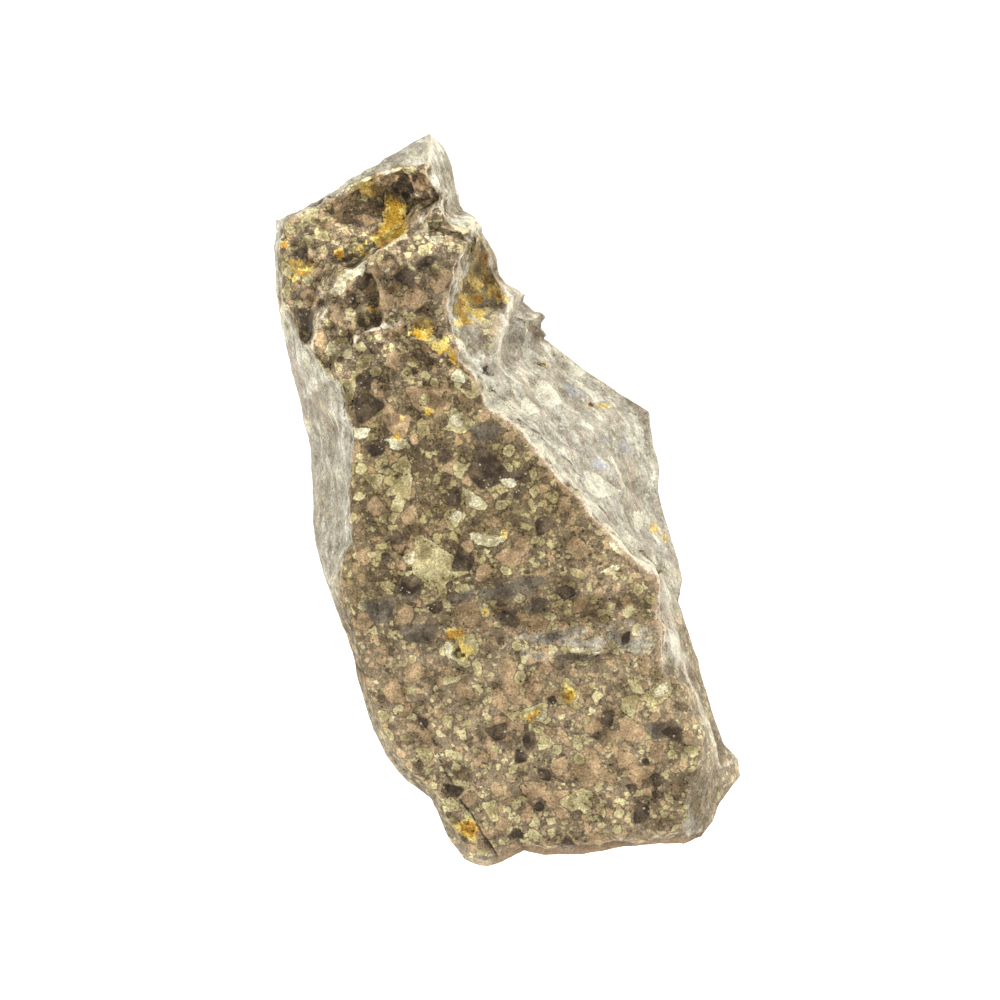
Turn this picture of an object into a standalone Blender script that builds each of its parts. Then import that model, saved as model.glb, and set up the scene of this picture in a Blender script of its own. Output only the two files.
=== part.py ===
"""A broken hand specimen of porphyry, lying on its flattest fracture.

Units are metres, +Z is up, and the origin is on the table under the middle of the specimen's box.
The form is a network of ridges, edges and hollows, filled with flat fracture faces and then chipped.
"""

import math

import bmesh
import bpy
import numpy as np
from mathutils.geometry import delaunay_2d_cdt

# Driving sizes
SPECIMEN_LENGTH = 0.0965  # along Y, from the apex to the foot of the lowest corner
PICTURE_LENGTH = 728  # the same stretch, in pixels of the photograph
PICTURE_MIDDLE = (507, 501)  # the pixel over the origin
CAMERA_HEIGHT = 0.80  # from the table to the camera, which looks straight down
FRONT_HEIGHT = 0.0315  # usual height of the front face above the table
MM = 0.001
PIXEL_AT_FRONT = SPECIMEN_LENGTH / PICTURE_LENGTH
PIXEL_AT_TABLE = PIXEL_AT_FRONT * CAMERA_HEIGHT / (CAMERA_HEIGHT - FRONT_HEIGHT)

# The turn from the rim to the back: inset in pixels, drop in mm
SHOULDER_INSET = 3
SHOULDER_DROP = 2

# Mesh and relief sizes
FRONT_EDGE = 0.0027  # edges longer than this are halved on the front
BACK_EDGE = 0.0046  # and on the back
HALVINGS = 4
CHIP_SIZES = (0.0085, 0.0042)  # width of the broad and the small chips
CHIP_DEPTHS = (0.0010, 0.0005)
CHIP_SEEDS = (11, 23)
FOOT_FADE = 0.0016  # height over which the chips fade in above the resting face
RIM_FADE = 0.0022  # distance over which they fade in beside the rim
RIM_SHARE = 0.3  # share of their depth left at the rim itself

# The edge seen from the front, anticlockwise from the apex: pixel across, pixel down, height in mm
RIM = [
    (430, 137, 22), (410, 147, 22), (385, 160, 22), (362, 174, 22), (340, 190, 22.5), (310, 208, 21.5),
    (277, 222, 20), (275, 250, 18), (276, 290, 16.5), (283, 330, 15), (293, 375, 14), (301, 405, 13),
    (309, 440, 12), (314, 480, 12), (314, 520, 12), (318, 548, 13), (326, 578, 15), (336, 604, 18),
    (346, 632, 21), (353, 655, 22), (361, 690, 23), (373, 727, 23), (388, 757, 23), (408, 781, 23),
    (430, 797, 24), (439, 813, 24.5), (449, 838, 25), (465, 857, 25), (487, 865, 25), (503, 860, 25.5),
    (524, 849, 27), (545, 854, 26.5), (575, 853, 26.5), (600, 850, 26.5), (622, 845, 27),
    (655, 842, 26.5), (683, 843, 25), (700, 835, 22.5), (713, 820, 20), (719, 802, 17), (730, 788, 15),
    (740, 775, 14), (738, 757, 14), (723, 742, 15), (712, 710, 15.5), (702, 680, 16), (692, 642, 17),
    (677, 602, 18), (681, 580, 16), (676, 555, 14), (667, 522, 13), (657, 492, 12), (658, 469, 11),
    (652, 440, 10.5), (649, 413, 10.5), (623, 396, 11.5), (587, 373, 13), (567, 359, 14), (550, 344, 16),
    (544, 340, 17.5), (547, 337, 19), (542, 331, 19.5), (541, 326, 20), (546, 319, 21.5), (541, 314, 21),
    (534, 311, 20), (525, 303, 19.5), (527, 296, 21), (516, 289, 20), (507, 285, 19), (501, 277, 18.5),
    (498, 265, 18.5), (495, 254, 18.5), (491, 245, 19), (483, 235, 20), (483, 229, 22), (477, 221, 24),
    (472, 216, 22), (463, 211, 19), (458, 192, 18.5), (454, 168, 19), (446, 151, 20), (438, 142, 21),
]

# Ridges, edges and valleys inside the rim, in the same units
FRONT_LINES = {
    "top_edge": [
        (277, 222, 20), (286, 225, 24), (308, 213, 25.5), (333, 199, 26.5), (348, 189, 27),
        (372, 178, 27.5), (402, 170, 28), (429, 166, 28),
    ],
    "apex_ridge": [
        (430, 137, 22), (432, 152, 26), (429, 166, 28), (428, 179, 28.5), (436, 190, 28),
        (442, 199, 27.5), (448, 211, 25), (455, 217, 24.5),
    ],
    "hollow_floor": [
        (312, 228, 25), (345, 215, 25), (372, 204, 24), (403, 192, 23.5), (414, 207, 22.5),
        (404, 222, 23), (392, 234, 24.5), (372, 248, 25.5), (350, 260, 26), (330, 262, 26.5),
        (316, 282, 25.5), (316, 300, 25), (309, 322, 24.5), (303, 336, 24.5),
    ],
    "ledge": [
        (413, 226, 28.5), (428, 229, 30), (412, 235, 30.5), (399, 240, 30.5), (389, 243, 30.5),
        (379, 252, 30.5), (364, 260, 30.5), (353, 270, 30.5), (339, 283, 30.5), (325, 293, 30),
        (327, 306, 30), (323, 315, 29.5), (318, 326, 29), (313, 340, 28.5), (311, 351, 28),
    ],
    "knob": [
        (413, 226, 28.5), (425, 215, 29.5), (440, 204, 30), (447, 216, 28.5), (455, 217, 24.5),
    ],
    "knob_top": [(447, 216, 28.5), (453, 222, 28), (465, 226, 27.5), (477, 221, 24)],
    "knob_foot": [(414, 207, 22.5), (428, 204, 24), (442, 199, 27.5)],
    "left_edge": [
        (286, 225, 24), (280, 250, 22.5), (281, 284, 22.5), (283, 303, 22.5), (289, 313, 23),
        (295, 323, 23.5), (298, 337, 24.5), (303, 346, 26.5), (311, 351, 28), (317, 363, 28.5),
        (324, 373, 29), (337, 383, 30), (345, 405, 30.5), (351, 422, 31), (354, 445, 31.5),
        (353, 483, 31.5), (354, 502, 31.5), (352, 521, 31), (353, 544, 31), (346, 560, 30.5),
        (343, 577, 30), (344, 600, 29.5), (351, 628, 29.5), (358, 652, 29.5), (368, 688, 29.5),
        (380, 722, 29.5), (395, 750, 29.5), (413, 774, 29), (436, 791, 29), (446, 811, 29),
        (456, 834, 28.5), (469, 850, 28.5), (487, 857, 28.5), (502, 852, 29), (523, 841, 30),
        (546, 847, 30), (575, 846, 30), (601, 843, 30), (622, 838, 30.5), (654, 834, 30), (681, 833, 29),
        (686, 810, 30.5), (691, 787, 31), (699, 762, 31), (701, 743, 31), (698, 725, 31.5),
        (690, 706, 32), (687, 690, 32), (678, 677, 32), (666, 672, 32),
    ],
    "right_ridge": [
        (477, 221, 24), (473, 235, 28), (471, 245, 29.5), (466, 253, 30.5), (460, 261, 31),
        (456, 272, 31.5), (455, 284, 31.5), (451, 297, 31.5), (450, 310, 31.5), (454, 323, 31.5),
        (458, 337, 31.5), (462, 351, 31.5), (461, 360, 31.5), (469, 366, 32), (476, 375, 32),
        (481, 385, 32), (487, 396, 32), (488, 406, 32.5), (505, 418, 33), (521, 428, 33), (534, 445, 33.5),
        (549, 464, 33.5), (565, 483, 34), (582, 498, 34), (592, 514, 34), (611, 533, 33.5),
        (630, 554, 33), (649, 569, 32.5), (660, 577, 31.5), (662, 588, 31.5), (658, 613, 32),
        (663, 634, 32), (664, 655, 32), (666, 672, 32),
    ],
    "gold_foot": [
        (480, 238, 23.5), (474, 252, 23.5), (468, 264, 25), (466, 278, 25), (465, 292, 25.5),
        (459, 304, 25.5), (461, 318, 26), (467, 334, 27), (470, 350, 27.5), (474, 362, 28.5),
        (488, 371, 27.5), (491, 384, 29), (499, 396, 29.5),
    ],
    "gold_deep": [(480, 238, 23.5), (484, 254, 21), (486, 270, 20.5), (492, 284, 21), (497, 297, 21.5)],
    "back_edge": [
        (483, 235, 20), (490, 254, 20.5), (491, 270, 21), (497, 282, 22), (505, 292, 23.5),
        (516, 298, 23.5), (527, 296, 21),
    ],
    "tooth_edge": [
        (505, 292, 23.5), (505, 302, 24), (514, 306, 24), (525, 303, 19.5),
    ],
    "pink_edge": [
        (514, 306, 24), (508, 313, 25), (507, 323, 25.5), (505, 334, 26), (502, 343, 26),
        (501, 357, 26), (502, 366, 26),
    ],
    "grey_floor": [(514, 306, 24), (517, 318, 22), (515, 336, 21.5), (512, 352, 22), (507, 362, 24)],
    "grey_edge": [
        (525, 303, 19.5), (528, 322, 22.5), (529, 335, 22.5), (526, 347, 22), (522, 356, 22),
        (514, 361, 22.5), (507, 362, 24), (502, 366, 26),
    ],
    "olive_floor": [(541, 326, 20), (536, 334, 18.5), (534, 345, 19), (526, 347, 22)],
    "slope_head": [(522, 356, 22), (534, 352, 19.5), (543, 345, 17.8), (550, 344, 16)],
    "slope_crease": [
        (502, 366, 26), (509, 380, 26.5), (523, 395, 26), (546, 418, 25), (575, 445, 24), (602, 480, 23.5),
        (630, 520, 22.5), (652, 548, 21), (669, 580, 19.5), (681, 580, 16),
    ],
    "slope_foot": [(669, 580, 19.5), (668, 600, 23.5), (677, 602, 18)],
    "right_side": [
        (668, 600, 23.5), (672, 625, 25), (677, 648, 26), (688, 672, 25), (699, 700, 25), (708, 728, 24.5),
        (716, 752, 22.5), (722, 764, 20), (738, 757, 14),
    ],
    "right_corner": [(722, 764, 20), (719, 783, 21), (730, 788, 15)],
    "right_low": [(719, 783, 21), (706, 806, 23.5), (700, 835, 22.5)],
    "vein": [
        (344, 600, 29.5), (375, 607, 30.8), (405, 606, 31.6), (440, 600, 31.8), (478, 588, 32.6),
        (505, 590, 33), (530, 604, 32.6), (560, 607, 32.4), (600, 628, 32.6), (635, 637, 33),
        (663, 634, 32),
    ],
    "low_spur": [(530, 604, 32.6), (519, 637, 32.2), (498, 662, 33), (491, 692, 32.6), (478, 722, 31.8)],
    "low_back": [(478, 722, 31.8), (520, 735, 32), (580, 745, 32.6), (640, 755, 32.6), (698, 725, 31.5)],
    "low_left": [(368, 688, 29.5), (400, 668, 30.4), (440, 672, 31), (478, 722, 31.8)],
    "low_fall": [(478, 722, 31.8), (470, 760, 31), (480, 800, 30.6), (487, 857, 28.5)],
    "arch": [(353, 348, 30.8), (357, 340, 31.8), (365, 333, 32.2), (380, 329, 32.4), (400, 326, 32)],
    "arch_foot": [(344, 352, 29.6), (349, 338, 30), (358, 327, 30.6), (379, 320, 31)],
    "chip_edge": [(378, 289, 31.5), (379, 306, 32), (381, 316, 32.2)],
    "chip_foot": [(372, 290, 30.4), (373, 306, 30.6), (379, 320, 31)],
    "step_edge": [(336, 362, 31.4), (338, 375, 31.4), (345, 405, 30.5)],
    "step_foot": [(344, 352, 29.6), (331, 362, 29.2), (332, 374, 29.4)],
    "column_crest": [(428, 229, 30), (432, 250, 31), (420, 275, 31.6), (425, 300, 32), (430, 330, 31.4)],
    "saddle": [(430, 330, 31.4), (420, 350, 30.8), (430, 372, 31), (461, 360, 31.5)],
    "front_swell": [
        (395, 400, 32.2), (420, 450, 33), (400, 500, 32.6), (440, 540, 33), (500, 490, 33.8),
        (540, 530, 33.6), (590, 570, 33.4), (610, 600, 33),
    ],
}

# The resting face, at the table, and the points that break up the back between it and the rim
FOOT = [
    (398, 356), (419, 306), (466, 297), (503, 349), (537, 398), (591, 469), (611, 548), (649, 604),
    (653, 702), (630, 754), (573, 779), (521, 761), (472, 784), (431, 716), (405, 641), (386, 603),
    (358, 521), (373, 452), (366, 401),
]
BACK_LINES = {
    "nose": [(430, 137, 22), (405, 196, 16.5), (384, 262, 9), (398, 356, 0)],
    "nose_side": [(498, 265, 18.5), (478, 258, 12), (466, 297, 0)],
    "nose_belt": [(310, 208, 21.5), (337, 246, 14), (384, 262, 9), (478, 258, 12)],
    "left_belt": [
        (337, 246, 14), (318, 330, 9.5), (331, 415, 7.5), (344, 497, 4.5), (336, 560, 8), (366, 640, 8),
    ],
    "low_left_belt": [(366, 640, 8), (396, 722, 12), (446, 776, 11), (492, 822, 13)],
    "low_belt": [(492, 822, 13), (560, 812, 9), (640, 824, 12.5), (690, 796, 9)],
    "right_belt": [
        (690, 796, 9), (704, 736, 6.5), (674, 664, 4.5), (664, 590, 8), (624, 500, 4), (608, 424, 5.5),
    ],
    "right_nose": [(608, 424, 5.5), (549, 376, 8), (511, 322, 9), (478, 258, 12)],
}


def place(across, down, height_mm):
    """The point at that height which the camera sees at that pixel."""
    height = height_mm * MM
    pixel = PIXEL_AT_TABLE * (CAMERA_HEIGHT - height) / CAMERA_HEIGHT
    return (
        (across - PICTURE_MIDDLE[0]) * pixel,
        (PICTURE_MIDDLE[1] - down) * pixel,
        height,
    )


def network(lines):
    """Unique points and the edges between them, from lines that share points by their pixels."""
    index, points, edges = {}, [], []
    for line in lines:
        ids = []
        for across, down, height in line:
            if (across, down) not in index:
                index[across, down] = len(points)
                points.append(place(across, down, height))
            ids.append(index[across, down])
        edges += list(zip(ids, ids[1:]))
    return points, edges


def facets(rim, lines):
    """Fills the rim with triangles whose edges follow every line."""
    points, edges = network([rim + rim[:1], *lines])
    loop = list(range(len(rim)))
    flat = [point[:2] for point in points]
    corners, _, faces, _, _, _ = delaunay_2d_cdt(flat, edges, [loop], 1, 1e-7)
    if len(corners) != len(points):
        raise ValueError("two lines cross between their points, so the crossing has no height")
    return points, faces


def shoulder():
    """One point for each rim point, a little inside it and below it, so that the back starts steeply."""
    rim = np.array(RIM, float)
    along = np.roll(rim, -1, axis=0) - np.roll(rim, 1, axis=0)
    inward = np.column_stack([along[:, 1], -along[:, 0]]) / np.hypot(along[:, 0], along[:, 1])[:, None]
    inset = rim[:, :2] + SHOULDER_INSET * inward
    return [(*point, height - SHOULDER_DROP) for point, height in zip(inset.tolist(), rim[:, 2].tolist())]


def block_out():
    """The bare form: flat facets on the front and the back, joined along the rim."""
    foot = [(across, down, 0) for across, down in FOOT]
    under_rim = [[point] for point in shoulder()]
    front_points, front_faces = facets(RIM, FRONT_LINES.values())
    back_points, back_faces = facets(RIM, [foot + foot[:1], *BACK_LINES.values(), *under_rim])
    form = bmesh.new()
    front = [form.verts.new(point) for point in front_points]
    back = front[:len(RIM)] + [form.verts.new(point) for point in back_points[len(RIM):]]
    for face in front_faces:
        form.faces.new([front[i] for i in face])
    for face in back_faces:
        form.faces.new([back[i] for i in reversed(face)])
    bmesh.ops.recalc_face_normals(form, faces=form.faces)
    return form


def longest_wanted(edge):
    """The length above which an edge is halved: shorter on the faces that the front view shows."""
    tilt = sum(face.normal.z for face in edge.link_faces) / 2
    return FRONT_EDGE if tilt > 0.02 else BACK_EDGE


def refine(form):
    """Halves long edges, so that the facets carry enough points for the chips."""
    for _ in range(HALVINGS):
        form.normal_update()
        long = [edge for edge in form.edges if edge.calc_length() > longest_wanted(edge)]
        bmesh.ops.subdivide_edges(form, edges=long, cuts=1)
        bmesh.ops.triangulate(form, faces=[face for face in form.faces if len(face.verts) > 3])


def cell_random(cells, seed):
    """Three even random numbers for each whole-numbered cell, the same on every run."""
    mixed = cells.astype(np.uint64) * np.array([73856093, 19349663, 83492791], np.uint64)
    state = mixed[..., 0] ^ mixed[..., 1] ^ mixed[..., 2] ^ np.uint64(seed * 2654435761)
    out = []
    for _ in range(3):
        state = (state ^ (state >> np.uint64(15))) * np.uint64(2246822519) % np.uint64(2**40)
        state = (state ^ (state >> np.uint64(13))) * np.uint64(3266489917) % np.uint64(2**40)
        out.append((state >> np.uint64(12)) % np.uint64(65536) / 65535)
    return np.stack(out, axis=-1)


def scallops(points, size, seed):
    """Shallow bowls meeting at sharp crests, as chipped stone has: squared distance to the nearest seed."""
    scaled = points / size + 512
    base = np.floor(scaled)
    nearest = np.full(len(points), np.inf)
    for shift in np.ndindex(3, 3, 3):
        cell = base + np.array(shift) - 1
        away = cell + cell_random(cell, seed) - scaled
        nearest = np.minimum(nearest, (away**2).sum(axis=1))
    return np.minimum(nearest, 1)


def rim_distance(points):
    """How far each point is from the nearest stretch of the rim."""
    starts = np.array([place(*point) for point in RIM])
    spans = np.roll(starts, -1, axis=0) - starts
    away = points[:, None] - starts
    along = np.clip((away * spans).sum(axis=2) / (spans**2).sum(axis=1), 0, 1)
    return np.linalg.norm(away - along[..., None] * spans, axis=2).min(axis=1)


def chip(form):
    """Moves each point along its normal by the chips; the resting face stays flat and the rim nearly so."""
    form.normal_update()
    points = np.array([vert.co for vert in form.verts])
    normals = np.array([vert.normal for vert in form.verts])
    relief = sum(
        depth * (scallops(points, size, seed) - 0.4)
        for size, depth, seed in zip(CHIP_SIZES, CHIP_DEPTHS, CHIP_SEEDS)
    )
    fade = np.clip(points[:, 2] / FOOT_FADE, 0, 1) * np.clip(rim_distance(points) / RIM_FADE, RIM_SHARE, 1)
    moved = points + normals * (relief * fade)[:, None]
    moved[:, 2] = np.maximum(moved[:, 2], 0)
    middle = (moved.min(axis=0) + moved.max(axis=0)) / 2
    moved[:, :2] -= middle[:2]
    for vert, point in zip(form.verts, moved):
        vert.co = point


def stone_material():
    """Grey-brown porphyry with a dry, dull break."""
    material = bpy.data.materials.new("porphyry")
    material.use_nodes = True
    shader = material.node_tree.nodes["Principled BSDF"]
    shader.inputs["Base Color"].default_value = (0.40, 0.33, 0.22, 1)
    shader.inputs["Roughness"].default_value = 0.78
    shader.inputs["Metallic"].default_value = 0
    return material


def main():
    for old in list(bpy.data.objects):
        bpy.data.objects.remove(old)
    form = block_out()
    refine(form)
    chip(form)
    mesh = bpy.data.meshes.new("porphyry_specimen")
    form.to_mesh(mesh)
    form.free()
    mesh.shade_smooth()
    mesh.set_sharp_from_angle(angle=math.radians(28))
    mesh.materials.append(stone_material())
    stone = bpy.data.objects.new("porphyry_specimen", mesh)
    bpy.context.scene.collection.objects.link(stone)


main()
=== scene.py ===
# Porphyry hand specimen: one broken stone, lying on its flattest break, seen from straight above.
# Metres, +Z up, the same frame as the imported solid.
import math
from functools import partial

import bpy
import numpy as np
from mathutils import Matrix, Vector
from mathutils.geometry import delaunay_2d_cdt


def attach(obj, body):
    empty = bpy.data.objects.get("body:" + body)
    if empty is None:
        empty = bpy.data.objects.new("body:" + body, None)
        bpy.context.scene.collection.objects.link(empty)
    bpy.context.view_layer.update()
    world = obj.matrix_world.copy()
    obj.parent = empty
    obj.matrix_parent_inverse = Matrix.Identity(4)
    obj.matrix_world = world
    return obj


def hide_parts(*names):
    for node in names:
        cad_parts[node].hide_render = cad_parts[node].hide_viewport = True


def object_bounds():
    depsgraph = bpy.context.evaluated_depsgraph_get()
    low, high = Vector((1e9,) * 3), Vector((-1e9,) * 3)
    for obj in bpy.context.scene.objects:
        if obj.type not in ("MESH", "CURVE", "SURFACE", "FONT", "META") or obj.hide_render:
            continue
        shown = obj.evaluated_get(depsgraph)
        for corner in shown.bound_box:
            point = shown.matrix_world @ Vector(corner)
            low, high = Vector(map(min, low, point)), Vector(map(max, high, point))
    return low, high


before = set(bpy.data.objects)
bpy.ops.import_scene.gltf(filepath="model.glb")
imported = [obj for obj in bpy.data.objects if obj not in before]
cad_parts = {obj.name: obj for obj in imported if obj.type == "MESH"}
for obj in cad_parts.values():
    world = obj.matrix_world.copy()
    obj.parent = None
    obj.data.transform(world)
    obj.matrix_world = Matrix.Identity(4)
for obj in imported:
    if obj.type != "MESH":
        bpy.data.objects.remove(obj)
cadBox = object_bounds()
print("frame loaded")

# How the photograph's pixels become metres
photo = {
    "length": 0.0965,  # the stone from its apex to its lowest corner
    "lengthPixels": 728,  # the same in the photograph
    "middle": (507, 501),  # pixel over the origin
    "cameraHeight": 0.80,  # above the table
    "frontHeight": 0.0315,  # of the speckled face above the table
    "closer": 1.007,  # makes up for the little that the relief takes off the outline
}
mm = 0.001
frontPixel = photo["length"] / photo["lengthPixels"]
tablePixel = frontPixel * photo["cameraHeight"] / (photo["cameraHeight"] - photo["frontHeight"])

# The form: pixel across, pixel down, height in mm above the table
# The four sides of the outline, each from one corner to the next, anticlockwise from the apex
outline = {
    "topEdge": [
        (430, 137, 22), (410, 147, 22), (385, 160, 22), (362, 174, 22), (340, 190, 22.5),
        (310, 208, 21.5), (277, 222, 20),
    ],
    "leftSide": [
        (277, 222, 20), (275, 250, 18), (276, 290, 16.5), (283, 330, 15), (293, 375, 14),
        (301, 405, 13), (309, 440, 12), (314, 480, 12), (314, 520, 12), (318, 548, 13), (326, 578, 15),
        (336, 604, 18), (346, 632, 21), (353, 655, 22), (361, 690, 23), (373, 727, 23), (388, 757, 23),
        (408, 781, 23), (430, 797, 24), (439, 813, 24.5), (449, 838, 25), (465, 857, 25),
    ],
    "footEdge": [
        (465, 857, 25), (487, 865, 25), (503, 860, 25.5), (524, 849, 27), (545, 854, 26.5),
        (575, 853, 26.5), (600, 850, 26.5), (622, 845, 27), (655, 842, 26.5), (683, 843, 25),
        (700, 835, 22.5),
    ],
    "rightSide": [
        (700, 835, 22.5), (713, 820, 20), (719, 802, 17), (730, 788, 15), (740, 775, 14),
        (738, 757, 14), (723, 742, 15), (712, 710, 15.5), (702, 680, 16), (692, 642, 17),
        (677, 602, 18), (681, 580, 16), (676, 555, 14), (667, 522, 13), (657, 492, 12), (658, 469, 11),
        (652, 440, 10.5), (649, 413, 10.5), (623, 396, 11.5), (587, 373, 13), (567, 359, 14),
        (550, 344, 16), (544, 340, 17.5), (547, 337, 19), (542, 331, 19.5), (541, 326, 20),
        (546, 319, 21.5), (541, 314, 21), (534, 311, 20), (525, 303, 19.5), (527, 296, 21),
        (516, 289, 20), (507, 285, 19), (501, 277, 18.5), (498, 265, 18.5), (495, 254, 18.5),
        (491, 245, 19), (483, 235, 20), (483, 229, 22), (477, 221, 24), (472, 216, 22), (463, 211, 19),
        (458, 192, 18.5), (454, 168, 19), (446, 151, 20), (438, 142, 21), (430, 137, 22),
    ],
}

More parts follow.
